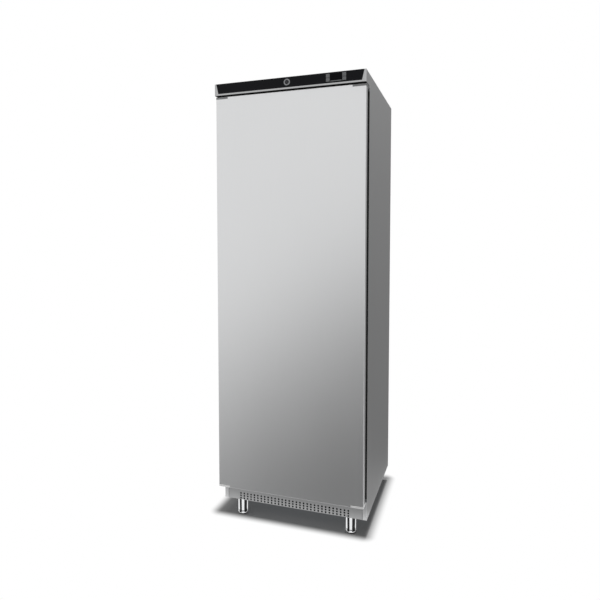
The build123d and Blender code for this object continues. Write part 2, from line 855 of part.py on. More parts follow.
probe_radius = 3.5
probe_length = 46.0
probe_set_in = 50.0
probe_x = opening_x - probe_set_in
probe_y = liner_back_y - probe_set_in
probe_drop = 6.0
probe_clip_half = 5.0
with BuildPart() as temperature_probe:
    probe_z = opening_top_z - probe_drop - probe_radius
    with BuildSketch(facing(probe_y - probe_length / 2)):
        with Locations((probe_x, probe_z)):
            RegularPolygon(probe_radius, 6)
    extrude(amount=-probe_length)
    block(
        (probe_x - probe_radius, probe_x + probe_radius),
        (probe_y - probe_clip_half, probe_y + probe_clip_half),
        (probe_z, opening_top_z),
    )
save(temperature_probe, "temperature_probe")

# ---------------------------------------------------------------- compressor
compressor_x = -150.0
compressor_set_in = 108.0
compressor_y = back_y - compressor_set_in
compressor_length = 200.0
compressor_width = 150.0
compressor_height = 150.0
compressor_corner = 70.0
compressor_crown = 30.0
corner_steps = 4
seam_height = 5.0
seam_proud = 2.5
seam_z = 70.0
mount_height = 16.0
mount_radius = 10.0
mount_pitch = (180.0, 116.0)
plate_sheet = 2.5
plate_margin = 15.0
plate_corner = 8.0
plate_z = pan_top_z + mount_height
compressor_z = plate_z + plate_sheet


def shell_outline(proud):
    """The can's plan, its corners turned in short flats, standing proud of it all round."""
    reach_x = compressor_length / 2 - compressor_corner
    reach_y = compressor_width / 2 - compressor_corner
    corners = ((reach_x, reach_y), (-reach_x, reach_y), (-reach_x, -reach_y), (reach_x, -reach_y))
    outline = []
    for quarter, (x, y) in enumerate(corners):
        for step in range(corner_steps + 1):
            angle = math.radians(90 * quarter + 90 * step / corner_steps)
            radius = compressor_corner + proud
            outline.append((x + radius * math.cos(angle), y + radius * math.sin(angle)))
    return outline


with BuildPart() as compressor:
    with BuildSketch(Plane.XY.offset(compressor_z)):
        with Locations((compressor_x, compressor_y)):
            Polygon(*shell_outline(0.0), align=None)
    extrude(amount=compressor_height)
    chamfer(compressor.faces().sort_by(Axis.Z)[-1].edges(), compressor_crown)
    with BuildSketch(Plane.XY.offset(compressor_z + seam_z)):
        with Locations((compressor_x, compressor_y)):
            Polygon(*shell_outline(seam_proud), align=None)
    extrude(amount=seam_height)
    with BuildSketch(Plane.XY.offset(plate_z)):
        with Locations((compressor_x, compressor_y)):
            RectangleRounded(
                mount_pitch[0] + 2 * plate_margin, mount_pitch[1] + 2 * plate_margin, plate_corner
            )
    extrude(amount=plate_sheet)
save(compressor, "compressor")

with BuildPart() as compressor_mounts:
    with BuildSketch(Plane.XY.offset(pan_top_z)):
        with Locations((compressor_x, compressor_y)):
            with GridLocations(*mount_pitch, 2, 2):
                RegularPolygon(mount_radius, 8)
    extrude(amount=mount_height)
save(compressor_mounts, "compressor_mounts")

terminal_size = (32.0, 60.0, 62.0)
terminal_lift = 5.0
terminal_round = 6.0
terminal_x = compressor_x + compressor_length / 2
with BuildPart() as terminal_cover:
    block(
        (terminal_x, terminal_x + terminal_size[0]),
        (compressor_y - terminal_size[1] / 2, compressor_y + terminal_size[1] / 2),
        (compressor_z + terminal_lift, compressor_z + terminal_lift + terminal_size[2]),
    )
    fillet(terminal_cover.faces().sort_by(Axis.X)[-1].edges(), terminal_round)
save(terminal_cover, "terminal_cover")

# ---------------------------------------------------------------- condenser, cowl and fan
cowl_x = 140.0
cowl_width = 250.0
cowl_height = 232.0
cowl_depth = 32.0
cowl_sheet = 1.5
cowl_front_y = bay_front_y + 12.0
cowl_z = pan_top_z + cowl_height / 2
cowl_back_y = cowl_front_y + cowl_depth
fan_hole_radius = 98.0
fan_ring_depth = 16.0
ring_sides = 40
fan_y = cowl_back_y + 9.0
with BuildPart() as fan_cowl:
    with BuildSketch(facing(cowl_front_y)):
        with Locations((cowl_x, cowl_z)):
            Rectangle(cowl_width, cowl_height)
            Rectangle(
                cowl_width - 2 * cowl_sheet, cowl_height - 2 * cowl_sheet, mode=Mode.SUBTRACT
            )
    extrude(amount=-cowl_depth)
    with BuildSketch(facing(cowl_back_y - cowl_sheet)):
        with Locations((cowl_x, cowl_z)):
            Rectangle(cowl_width, cowl_height)
            RegularPolygon(
                fan_hole_radius, ring_sides, major_radius=False, mode=Mode.SUBTRACT
            )
    extrude(amount=-cowl_sheet)
    with BuildSketch(facing(cowl_back_y)):
        with Locations((cowl_x, cowl_z)):
            RegularPolygon(fan_hole_radius + cowl_sheet, ring_sides, major_radius=False)
            RegularPolygon(
                fan_hole_radius, ring_sides, major_radius=False, mode=Mode.SUBTRACT
            )
    extrude(amount=-fan_ring_depth)
save(fan_cowl, "fan_cowl")

coil_runs = 5
coil_half = 3.0
coil_edge = 20.0
coil_wires = 12
coil_bend_radius = 20.0
coil_y = cowl_front_y + 8.0
coil_pitch = (cowl_height - 2 * coil_edge) / (coil_runs - 1)
coil_levels = [pan_top_z + cowl_height - coil_edge - i * coil_pitch for i in range(coil_runs)]
coil_half_width = cowl_width / 2 - cowl_sheet
coil_wire_span = cowl_width - 2 * coil_edge
coil_winding = winding(coil_half_width, -coil_half_width, coil_levels, coil_half_width - 8.0)
with BuildPart() as condenser:
    with BuildLine(Plane(origin=(cowl_x, coil_y, 0), x_dir=(1, 0, 0), z_dir=(0, -1, 0))) as coil:
        Polyline(*eased(coil_winding, coil_bend_radius))
    coil_start = (cowl_x + coil_half_width, coil_y, coil_levels[0])
    with BuildSketch(Plane(origin=coil_start, x_dir=(0, 0, 1), z_dir=(-1, 0, 0))):
        RegularPolygon(coil_half, 6, major_radius=False)
    sweep(path=coil.wires()[0], transition=Transition.RIGHT)
with BuildPart() as coil_fins:
    with Locations((cowl_x, coil_y + coil_half + wire / 2, cowl_z)):
        with GridLocations(coil_wire_span / (coil_wires - 1), 0, coil_wires, 1):
            Box(wire, wire, cowl_height - 2 * cowl_sheet)
save_group((condenser, coil_fins), "condenser")

fan_hub_radius = 22.0
fan_hub_depth = 20.0
fan_radius = 91.0
fan_blades = 5
blade_width = 48.0
blade_sheet = 1.6
blade_tilt = 28.0
fan_bore = 4.0
shaft_gap = fit_gap
with BuildPart() as fan_blade:
    with BuildSketch(facing(fan_y - fan_hub_depth / 2)):
        with Locations((cowl_x, cowl_z)):
            RegularPolygon(fan_hub_radius, 12)
    extrude(amount=-fan_hub_depth)
    for index in range(fan_blades):
        angle = math.radians(360.0 / fan_blades * index)
        tilt = math.radians(blade_tilt)
        radial = (math.cos(angle), 0, math.sin(angle))
        face = (
            -math.sin(angle) * math.sin(tilt),
            -math.cos(tilt),
            math.cos(angle) * math.sin(tilt),
        )
        with BuildSketch(Plane(origin=(cowl_x, fan_y, cowl_z), x_dir=radial, z_dir=face)):
            with BuildLine():
                Polyline(
                    (fan_hub_radius - 4, -blade_width / 4),
                    (0.55 * fan_radius, -blade_width / 2),
                    (0.9 * fan_radius, -0.45 * blade_width),
                    (fan_radius, -0.1 * blade_width),
                    (0.93 * fan_radius, 0.38 * blade_width),
                    (fan_hub_radius - 4, blade_width / 4),
                    close=True,
                )
            make_face()
        extrude(amount=blade_sheet / 2, both=True)
    with BuildSketch(facing(fan_y)):
        with Locations((cowl_x, cowl_z)):
            Circle(fan_bore)
    extrude(amount=-fan_hub_depth, mode=Mode.SUBTRACT)
save(fan_blade, "fan_blade")

motor_radius = 36.0
motor_depth = 42.0
motor_sides = 24
shaft_sides = 8
shaft_setback = 1.0
strap_width = 22.0
strap_sheet = 2.0
strap_front_y = cowl_back_y + 22.0
strap_reach = fan_hole_radius + 10.0
with BuildPart() as fan_motor:
    with BuildSketch(facing(strap_front_y)):
        with Locations((cowl_x, cowl_z)):
            RegularPolygon(motor_radius, motor_sides)
    extrude(amount=-motor_depth)
    with BuildSketch(facing(strap_front_y)):
        with Locations((cowl_x, cowl_z)):
            RegularPolygon(fan_bore - shaft_gap, shaft_sides)
    extrude(amount=strap_front_y - fan_y - shaft_setback)
    block(
        (cowl_x - strap_reach, cowl_x + strap_reach),
        (strap_front_y, strap_front_y + strap_sheet),
        (cowl_z - strap_width / 2, cowl_z + strap_width / 2),
    )
    for side in (-1, 1):
        block(
            (cowl_x + side * strap_reach, cowl_x + side * (strap_reach - strap_sheet)),
            (cowl_back_y, strap_front_y),
            (cowl_z - strap_width / 2, cowl_z + strap_width / 2),
        )
save(fan_motor, "fan_motor")

# ---------------------------------------------------------------- drier and refrigerant pipes
drier_radius = 9.5
drier_length = 90.0
drier_neck = 10.0
drier_neck_wall = 1.0
drier_sides = 12
drier_gap = 24.0
drier_rise = 44.0
drier_x = cowl_x - cowl_width / 2 - drier_gap
drier_y = cowl_front_y + drier_rise
drier_z = pan_top_z + drier_rise
pipe_half = 3.0
with BuildPart() as filter_drier:
    with BuildSketch(Plane.XY.offset(drier_z)):
        with Locations((drier_x, drier_y)):
            RegularPolygon(pipe_half + drier_neck_wall, 6)
    extrude(amount=drier_length)
    with BuildSketch(Plane.XY.offset(drier_z + drier_neck)):
        with Locations((drier_x, drier_y)):
            RegularPolygon(drier_radius, drier_sides)
    extrude(amount=drier_length - 2 * drier_neck)
save(filter_drier, "filter_drier")

cowl_side_x = cowl_x - cowl_width / 2
discharge_z = coil_levels[0]
liquid_z = coil_levels[-1]
stub_offset = 15.0
pipe_clearance = 34.0
pipe_spacing = 28.0
stub_spacing = 25.0
suction_y = compressor_y - stub_offset
suction_z = bay_top_z - pipe_clearance
capillary_z = suction_z - pipe_spacing
shell_top_z = compressor_z + compressor_height
stub_x = 30.0
discharge_y = suction_y + stub_spacing
discharge_x = cowl_side_x - pipe_clearance
pipe_routes = (
    (
        (compressor_x + stub_x, discharge_y, shell_top_z),
        (compressor_x + stub_x, discharge_y, discharge_z),
        (discharge_x, discharge_y, discharge_z),
        (discharge_x, coil_y, discharge_z),
        (cowl_side_x, coil_y, discharge_z),
    ),
    (
        (cowl_side_x, coil_y, liquid_z),
        (drier_x, coil_y, liquid_z),
        (drier_x, drier_y, liquid_z),
        (drier_x, drier_y, drier_z),
    ),
    (
        (drier_x, drier_y, drier_z + drier_length),
        (drier_x, drier_y, capillary_z),
        (drier_x, bay_front_y, capillary_z),
    ),
    (
        (compressor_x - stub_x, bay_front_y, suction_z),
        (compressor_x - stub_x, suction_y, suction_z),
        (compressor_x - stub_x, suction_y, shell_top_z),
    ),
)
with BuildPart() as refrigerant_pipes:
    for route in pipe_routes:
        with BuildLine() as pipe_path:
            Polyline(*route)
        start_plane = Plane(origin=route[0], z_dir=Vector(*route[1]) - Vector(*route[0]))
        with BuildSketch(start_plane):
            RegularPolygon(pipe_half, 6, major_radius=False)
        sweep(path=pipe_path.wires()[0], transition=Transition.RIGHT)
save(refrigerant_pipes, "refrigerant_pipes")

# ---------------------------------------------------------------- rear grille, inlet and screws
grille_bottom_z = base_z + 4.0
grille_x = side_x - back_margin
slot_columns = 3
slot_rows = 7
slot_width = 150.0
slot_height = 6.0
slot_pitch = (180.0, 25.0)
slot_rise = 18.0
inlet_set_in = 61.0
inlet_x = grille_x - inlet_set_in
inlet_z = grille_bottom_z + 24.0
inlet_flange = (48.0, 25.0)
inlet_size = (27.0, 19.5)
inlet_pocket = (24.0, 16.5)
inlet_depth = 26.0
inlet_face_y = foam_back_y
inlet_sheet = 2.5
inlet_floor = 6.0
inlet_plate_margin = (36.0, 30.0)
inlet_plate_left = inlet_x - inlet_plate_margin[0]
inlet_plate_top = inlet_z + inlet_plate_margin[1]
inlet_plate_middle = ((inlet_plate_left + grille_x) / 2, (grille_bottom_z + inlet_plate_top) / 2)
inlet_plate_size = (grille_x - inlet_plate_left, inlet_plate_top - grille_bottom_z)
contact_size = (2.0, 4.0)
contact_places = ((0, 3.5), (-7, -3), (7, -3))
contact_setback = 3.0
contact_length = inlet_depth - 8.0
with BuildPart() as rear_grille:
    with BuildSketch(facing(foam_back_y)):
        with Locations((0, (grille_bottom_z + bay_top_z) / 2)):
            Rectangle(2 * grille_x, bay_top_z - grille_bottom_z)
        with Locations((0, (grille_bottom_z + bay_top_z) / 2 + slot_rise)):
            with GridLocations(*slot_pitch, slot_columns, slot_rows):
                Rectangle(slot_width, slot_height, mode=Mode.SUBTRACT)
        with Locations(inlet_plate_middle):
            Rectangle(*(2 * fit_gap + side for side in inlet_plate_size), mode=Mode.SUBTRACT)
    extrude(amount=-sheet)
save(rear_grille, "rear_grille")

with BuildPart() as inlet_plate:
    with BuildSketch(facing(foam_back_y)):
        with Locations(inlet_plate_middle):
            Rectangle(*inlet_plate_size)
        with Locations((inlet_x, inlet_z)):
            Rectangle(*inlet_size, mode=Mode.SUBTRACT)
    extrude(amount=-sheet)
save(inlet_plate, "inlet_plate")

with BuildPart() as cord_inlet:
    with BuildSketch(facing(inlet_face_y)):
        with Locations((inlet_x, inlet_z)):
            Rectangle(*inlet_flange)
    extrude(amount=inlet_sheet)
    with BuildSketch(facing(inlet_face_y - inlet_sheet)):
        with Locations((inlet_x, inlet_z)):
            Rectangle(*inlet_size)
    extrude(amount=inlet_depth - inlet_sheet)
    with BuildSketch(facing(inlet_face_y)):
        with Locations((inlet_x, inlet_z)):
            Rectangle(*inlet_pocket)
    extrude(amount=inlet_depth - inlet_floor, mode=Mode.SUBTRACT)
    with BuildSketch(facing(inlet_face_y - contact_setback)):
        with Locations(*[(inlet_x + x, inlet_z + z) for x, z in contact_places]):
            Rectangle(*contact_size)
    extrude(amount=contact_length)
save(cord_inlet, "cord_inlet")

screw_head = 4.0
screw_x = side_x - rear_flange / 2
panel_screws = 5
panel_screw_inset = (20.0, 30.0)
panel_screw_pitch = (top_z - bay_top_z - sum(panel_screw_inset)) / (panel_screws - 1)
panel_screw_zs = [bay_top_z + panel_screw_inset[0] + i * panel_screw_pitch for i in range(panel_screws)]
grille_screw_zs = (grille_bottom_z + 18.0, bay_top_z - 22.0)
with BuildPart() as rear_screws:
    for side in (-1, 1):
        for screw_z in (*grille_screw_zs, *panel_screw_zs):
            with BuildSketch(facing(back_y - rear_proud)):
                with Locations((side * screw_x, screw_z)):
                    RegularPolygon(screw_head, 6)
            extrude(amount=-rear_proud)
save(rear_screws, "rear_screws")

# ---------------------------------------------------------------- feet
foot_x = 232.0
foot_inset_front = 30.0
foot_inset_rear = 48.0
sleeve_radius = 19.75
sleeve_bottom_z = 17.5
sleeve_roof = 7.0
foot_sides = 16
foot_sole_height = 3.5
foot_sole_radius = 15.5
foot_taper_height = 6.0
foot_shoulder_z = 14.5
foot_stem_radius = 13.0
foot_stem_top_z = 58.0
sleeve_bore = foot_stem_radius + fit_gap
foot_places = {
    "foot_front_left": (-foot_x, cabinet_y + foot_inset_front),
    "foot_front_right": (foot_x, cabinet_y + foot_inset_front),
    "foot_rear_left": (-foot_x, back_y - foot_inset_rear),
    "foot_rear_right": (foot_x, back_y - foot_inset_rear),
}
with BuildPart() as foot_sleeves:
    with BuildSketch(Plane.XY.offset(sleeve_bottom_z)):
        with Locations(*foot_places.values()):
            RegularPolygon(sleeve_radius, foot_sides)
    extrude(amount=pan_z - sleeve_bottom_z)
    with BuildSketch(Plane.XY.offset(sleeve_bottom_z)):
        with Locations(*foot_places.values()):
            RegularPolygon(sleeve_bore, foot_sides, major_radius=False)
    extrude(amount=pan_z - sleeve_roof - sleeve_bottom_z, mode=Mode.SUBTRACT)
save(foot_sleeves, "foot_sleeves")

foot_taper_inset = (sleeve_radius - foot_sole_radius) * math.cos(math.pi / foot_sides)
for foot_name, place in foot_places.items():
    with BuildPart() as foot:
        with BuildSketch(Plane.XY.offset(foot_sole_height)):
            with Locations(place):
                RegularPolygon(sleeve_radius, foot_sides)
        extrude(amount=foot_shoulder_z - foot_sole_height)
        sole_face = foot.faces().sort_by(Axis.Z)[0]
        chamfer(sole_face.edges(), foot_taper_inset, foot_taper_height, reference=sole_face)
        with BuildSketch():
            with Locations(place):
                RegularPolygon(foot_sole_radius, foot_sides)
        extrude(amount=foot_sole_height)
        with BuildSketch(Plane.XY.offset(foot_shoulder_z)):
            with Locations(place):
                RegularPolygon(foot_stem_radius, foot_sides)
        extrude(amount=foot_stem_top_z - foot_shoulder_z)
    save(foot, foot_name)
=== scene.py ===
"""An upright freezer's looks, built around its packed frame and laid out as a Blender add-on.

Every length is in metres, in the frame's own axes: +X to the door's right, -Y out of it, +Z up.
"""

import json
import math

import bmesh
import bpy
from bpy.props import FloatProperty, FloatVectorProperty, IntProperty, PointerProperty
from mathutils import Matrix, Vector


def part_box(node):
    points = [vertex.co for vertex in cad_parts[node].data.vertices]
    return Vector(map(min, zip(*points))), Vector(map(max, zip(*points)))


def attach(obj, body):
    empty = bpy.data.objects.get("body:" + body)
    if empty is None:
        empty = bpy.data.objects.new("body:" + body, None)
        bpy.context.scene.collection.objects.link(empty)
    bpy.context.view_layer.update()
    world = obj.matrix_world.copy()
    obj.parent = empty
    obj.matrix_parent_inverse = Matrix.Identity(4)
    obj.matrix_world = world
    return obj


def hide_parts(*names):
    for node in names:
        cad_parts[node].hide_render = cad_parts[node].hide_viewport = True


bl_info = {
    "name": "Upright Freezer",
    "version": (1, 0, 0),
    "blender": (4, 5, 0),
    "location": "3D View > Sidebar > Freezer",
    "description": "Dresses the packed freezer in steel, wire shelves, gasket, lock and controller",
    "category": "Add Mesh",
}

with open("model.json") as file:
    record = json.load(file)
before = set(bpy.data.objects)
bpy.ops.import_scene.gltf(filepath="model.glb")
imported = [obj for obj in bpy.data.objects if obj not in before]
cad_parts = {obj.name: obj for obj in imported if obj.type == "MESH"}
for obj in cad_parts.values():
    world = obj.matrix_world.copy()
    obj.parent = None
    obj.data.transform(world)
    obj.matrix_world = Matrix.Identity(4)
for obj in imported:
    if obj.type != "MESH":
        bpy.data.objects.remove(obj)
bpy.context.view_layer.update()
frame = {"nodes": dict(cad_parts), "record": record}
record = frame["record"]
slot_of = {part["node"]: part["material_slot"] for part in record["subparts"]}
body_of = {
    node: body for body, nodes in record["behaviour"]["bodies"].items() for node in nodes
}
finishes = {}


# ---------------------------------------------------------------- node graphs
class Value:
    """A node's output that takes part in arithmetic: each operator adds one Math node."""

    def __init__(self, graph, socket):
        self.graph = graph
        self.socket = socket

    def __add__(self, other):
        return self.graph.maths("ADD", self, other)

    def __radd__(self, other):
        return self.graph.maths("ADD", other, self)

    def __sub__(self, other):
        return self.graph.maths("SUBTRACT", self, other)

    def __rsub__(self, other):
        return self.graph.maths("SUBTRACT", other, self)

    def __mul__(self, other):
        return self.graph.maths("MULTIPLY", self, other)

    def __rmul__(self, other):
        return self.graph.maths("MULTIPLY", other, self)

    def __pow__(self, other):
        return self.graph.maths("POWER", self, other)


class Graph:
    """A node tree in the making: node() adds any node, sets it up and feeds its sockets."""

    def __init__(self, tree):
        self.tree = tree

    def node(self, kind, settings=None, inputs=None, output=0):
        made = self.tree.nodes.new(kind)
        for name, value in (settings or {}).items():
            if name == "stops":
                self.set_stops(made.color_ramp, value)
            else:
                setattr(made, name, value)
        for name, value in (inputs or {}).items():
            self.feed(made.inputs[name], value)
        if isinstance(output, tuple):
            return [Value(self, made.outputs[one]) for one in output]
        return Value(self, made.outputs[output]) if made.outputs else None

    def maths(self, operation, first, second=0.0):
        return self.node("ShaderNodeMath", {"operation": operation}, {0: first, 1: second})

    def feed(self, socket, value):
        """Link a Value, several Values or a plain number, colour or material to a socket."""
        if isinstance(value, Value):
            self.tree.links.new(value.socket, socket)
        elif isinstance(value, list):
            for one in value:
                self.tree.links.new(one.socket, socket)
        elif isinstance(value, tuple) and len(value) == 3 and socket.type == "RGBA":
            socket.default_value = (*value, 1.0)
        else:
            socket.default_value = value

    def set_stops(self, ramp, stops):
        while len(ramp.elements) < len(stops):
            ramp.elements.new(1.0)
        for element, (position, shade) in zip(ramp.elements, stops):
            element.position = position
            element.color = (shade, shade, shade, 1.0)


class Finish(Graph):
    """A material whose surface is worked out on the object's own coordinates."""

    def __init__(self, name):
        self.material = bpy.data.materials.new(name)
        self.material.use_nodes = True
        super().__init__(self.material.node_tree)
        self.tree.nodes.clear()
        self.place = self.node("ShaderNodeTexCoord", output="Object")

    def noise(self, scale, detail=2.0, roughness=0.5):
        """Noise from 0 to 1 with a scale along each axis, in cells per metre."""
        stretched = self.node("ShaderNodeMapping", None, {"Vector": self.place, "Scale": scale})
        return self.node(
            "ShaderNodeTexNoise",
            None,
            {"Vector": stretched, "Scale": 1.0, "Detail": detail, "Roughness": roughness},
        )

    def blend(self, share, low, high):
        """A colour between two others."""
        return self.node(
            "ShaderNodeMix", {"data_type": "RGBA"}, {0: share, 6: low, 7: high}, output=2
        )

    def shades(self, share, colour, darkest):
        """The colour, darkened where the share is low."""
        return self.blend(share, tuple(darkest * part for part in colour), tuple(colour))

    def bump(self, height, strength, distance=0.0005):
        return self.node(
            "ShaderNodeBump",
            None,
            {"Height": height, "Strength": strength, "Distance": distance},
        )

    def surface(self, **sockets):
        """Close the material with a Principled surface; underscores stand for the spaces."""
        inputs = {name.replace("_", " "): value for name, value in sockets.items()}
        shader = self.node("ShaderNodeBsdfPrincipled", None, inputs)
        self.node("ShaderNodeOutputMaterial", None, {"Surface": shader})
        return self.material


class Recipe(Graph):
    """A Geometry Nodes tree with named inputs, run once on a piece and turned into a plain mesh."""

    kinds = {float: "NodeSocketFloat", int: "NodeSocketInt", tuple: "NodeSocketVector"}

    def __init__(self, name, sizes):
        super().__init__(bpy.data.node_groups.new(name, "GeometryNodeTree"))
        self.sizes = sizes
        face = self.tree.interface
        face.new_socket("Geometry", in_out="INPUT", socket_type="NodeSocketGeometry")
        for label, value in sizes.items():
            kind = self.kinds.get(type(value))
            if isinstance(value, bpy.types.Material):
                kind = "NodeSocketMaterial"
            elif isinstance(value, bpy.types.Object):
                kind = "NodeSocketObject"
            face.new_socket(label, in_out="INPUT", socket_type=kind)
        face.new_socket("Geometry", in_out="OUTPUT", socket_type="NodeSocketGeometry")
        self.entry = self.tree.nodes.new("NodeGroupInput")

    def __getitem__(self, label):
        return Value(self, self.entry.outputs[label])

    def step(self, kind, settings=None, output=0, **inputs):
        """One geometry node; underscores in its inputs' names stand for the spaces."""
        named = {label.replace("_", " "): value for label, value in inputs.items()}
        return self.node(f"GeometryNode{kind}", settings, named, output)

    def vector(self, **parts):
        return self.node("ShaderNodeCombineXYZ", None, parts)

    def run(self, name, base, geometry):
        """The mesh that the tree makes of a base mesh or curve, real and in its own material."""
        real = self.step("RealizeInstances", Geometry=geometry)
        dressed = self.step("SetMaterial", Geometry=real, Material=self["Material"])
        self.node("NodeGroupOutput", None, {"Geometry": dressed})
        source = put(name, base)
        modifier = source.modifiers.new("recipe", "NODES")
        modifier.node_group = self.tree
        for item in self.tree.interface.items_tree:
            if item.in_out == "INPUT" and item.name in self.sizes:
                modifier[item.identifier] = self.sizes[item.name]
        return plain_mesh(source)


# ---------------------------------------------------------------- meshes and pieces
WELD = 1e-6


def put(name, data):
    """A new object in the scene around its data."""
    made = bpy.data.objects.new(name, data)
    bpy.context.scene.collection.objects.link(made)
    return made


def plain_mesh(source):
    """The evaluated mesh of an object, which is then removed with its modifiers."""
    bpy.context.view_layer.update()
    graph = bpy.context.evaluated_depsgraph_get()
    mesh = bpy.data.meshes.new_from_object(source.evaluated_get(graph), depsgraph=graph)
    mesh.name = source.name
    bpy.data.objects.remove(source)
    return mesh


def smoothed(mesh, crease=35.0):
    """Round shading, kept sharp at edges that turn by more than the crease, in degrees."""
    mesh.shade_smooth()
    mesh.set_sharp_from_angle(angle=math.radians(crease))
    return mesh


def eased(mesh, width, segments=2):
    """The mesh with its sharp edges rounded, and shading that follows its large faces."""
    source = put(mesh.name, mesh)
    edge = source.modifiers.new("edge", "BEVEL")
    edge.width = width
    edge.segments = segments
    edge.limit_method = "ANGLE"
    edge.angle_limit = math.radians(30.0)
    edge.use_clamp_overlap = True
    smoothed(mesh, 60.0)
    shading = source.modifiers.new("shading", "WEIGHTED_NORMAL")
    shading.keep_sharp = True
    return plain_mesh(source)


def piece(name, mesh, finish, body, stands_for=(), slot=None):
    """A piece that rides on a body in place of CAD nodes, with no finish if its mesh has one."""
    made = put(name, mesh)
    if finish is not None:
        mesh.materials.clear()
        mesh.materials.append(finish)
    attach(made, body)
    if stands_for:
        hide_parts(*stands_for)
        slot = slot or slot_of[stands_for[0]]
    return made


def node_mesh(node):
    """A copy of a CAD node's mesh with its loose triangles welded and its flat faces whole."""
    shape = bmesh.new()
    shape.from_mesh(frame["nodes"][node].data)
    bmesh.ops.remove_doubles(shape, verts=shape.verts, dist=WELD)
    bmesh.ops.dissolve_limit(
        shape, angle_limit=math.radians(0.3), verts=shape.verts, edges=shape.edges
    )
    return to_mesh(shape, node)


def to_mesh(shape, name):
    mesh = bpy.data.meshes.new(name)
    shape.to_mesh(mesh)
    shape.free()
    return mesh


def eased_node(node, width, segments=2, finish=None):
    """A piece in place of a CAD node, of the same shape with its edges rounded."""
    mesh = eased(node_mesh(node), width, segments)
    return piece(
        f"{node}_eased", mesh, finish or finishes[slot_of[node]], body_of[node], (node,)
    )


def second_finish(made, finish, chosen):
    """Give a piece's chosen faces a second finish."""
    made.data.materials.append(finish)
    for face in made.data.polygons:
        face.material_index = int(chosen(face))


def box_mesh(name, *boxes):
    """A mesh of boxes, each given by two of its corners."""
    shape = bmesh.new()
    for low, high in boxes:
        size = Vector(high) - Vector(low)
        middle = (Vector(high) + Vector(low)) / 2
        matrix = Matrix.Translation(middle) @ Matrix.Diagonal((*size, 1.0))
        bmesh.ops.create_cube(shape, size=1.0, matrix=matrix)
    return to_mesh(shape, name)


def joined(name, meshes):
    """Several meshes of one material as one mesh."""
    shape = bmesh.new()
    for mesh in meshes:
        shape.from_mesh(mesh)
    made = to_mesh(shape, name)
    for mesh in meshes:
        bpy.data.meshes.remove(mesh)
    return made


ORIGIN = Vector((0.0, 0.0, 0.0))
UP, REARWARD = Vector((0.0, 0.0, 1.0)), Vector((0.0, 1.0, 0.0))


def turned(name, profile, centre=ORIGIN, sides=48, axis=UP, start=Vector((1.0, 0.0, 0.0))):
    """A closed turned shape: profile points are (radius, distance along the axis)."""
    shape = bmesh.new()
    points = [shape.verts.new(start * radius + axis * along) for radius, along in profile]
    edges = [shape.edges.new(pair) for pair in zip(points, points[1:])]
    bmesh.ops.spin(
        shape,
        geom=points + edges,
        cent=(0, 0, 0),
        axis=axis,
        angle=2 * math.pi,
        steps=sides,
        use_merge=True,
    )
    bmesh.ops.remove_doubles(shape, verts=shape.verts, dist=WELD)
    bmesh.ops.recalc_face_normals(shape, faces=shape.faces)
    bmesh.ops.translate(shape, verts=shape.verts, vec=centre)
    return smoothed(to_mesh(shape, name), 40.0)


def bent_tube(name, routes, radius, bend, finish, sides=12):
    """Round tube along routes of straight runs, with every corner turned about one radius."""
    lines = bpy.data.curves.new(name, "CURVE")
    lines.dimensions = "3D"
    for route in routes:
        spline = lines.splines.new("POLY")
        spline.points.add(len(route) - 1)
        for point, spot in zip(spline.points, route):
            point.co = (*spot, 1.0)
    tree = Recipe(
        name,
        {"Tube Radius": radius, "Bend Radius": bend, "Sides": sides, "Material": finish},
    )
    line, bend_radius = tree["Geometry"], tree["Bend Radius"]
    path = tree.step("FilletCurve", {"mode": "POLY"}, Curve=line, Radius=bend_radius, Count=8)
    ring = tree.step("CurvePrimitiveCircle", Resolution=tree["Sides"], Radius=tree["Tube Radius"])
    tube = tree.step("CurveToMesh", Curve=path, Profile_Curve=ring, Fill_Caps=True)
    return smoothed(tree.run(name, lines, tube), 50.0)


def copies(name, pattern, places, finish):
    """One mesh with a copy of the pattern's mesh at each place, set there by a recipe."""
    source = bpy.data.objects.new(f"{name}_pattern", pattern)
    tree = Recipe(name, {"Pattern": source, "Material": finish})
    shape = tree.step("ObjectInfo", output="Geometry", Object=tree["Pattern"])
    points = bpy.data.meshes.new(f"{name}_places")
    points.from_pydata([tuple(spot) for spot in places], [], [])
    set_out = tree.step("InstanceOnPoints", Points=tree["Geometry"], Instance=shape)
    made = tree.run(name, points, set_out)
    bpy.data.objects.remove(source)
    return made


# ---------------------------------------------------------------- settings
def a_colour(name, description, default):
    return FloatVectorProperty(
        name=name, description=description, subtype="COLOR", default=default
    )


def a_length(name, description, default):
    return FloatProperty(
        name=name, description=description, subtype="DISTANCE", unit="LENGTH", default=default
    )


def a_place(name, description, default):
    return FloatVectorProperty(
        name=name,
        description=description,
        size=len(default),
        subtype="TRANSLATION",
        unit="LENGTH",
        default=default,
    )


def an_angle(name, description, degrees):
    return FloatProperty(
        name=name,
        description=description,
        subtype="ANGLE",
        unit="ROTATION",
        default=math.radians(degrees),
    )


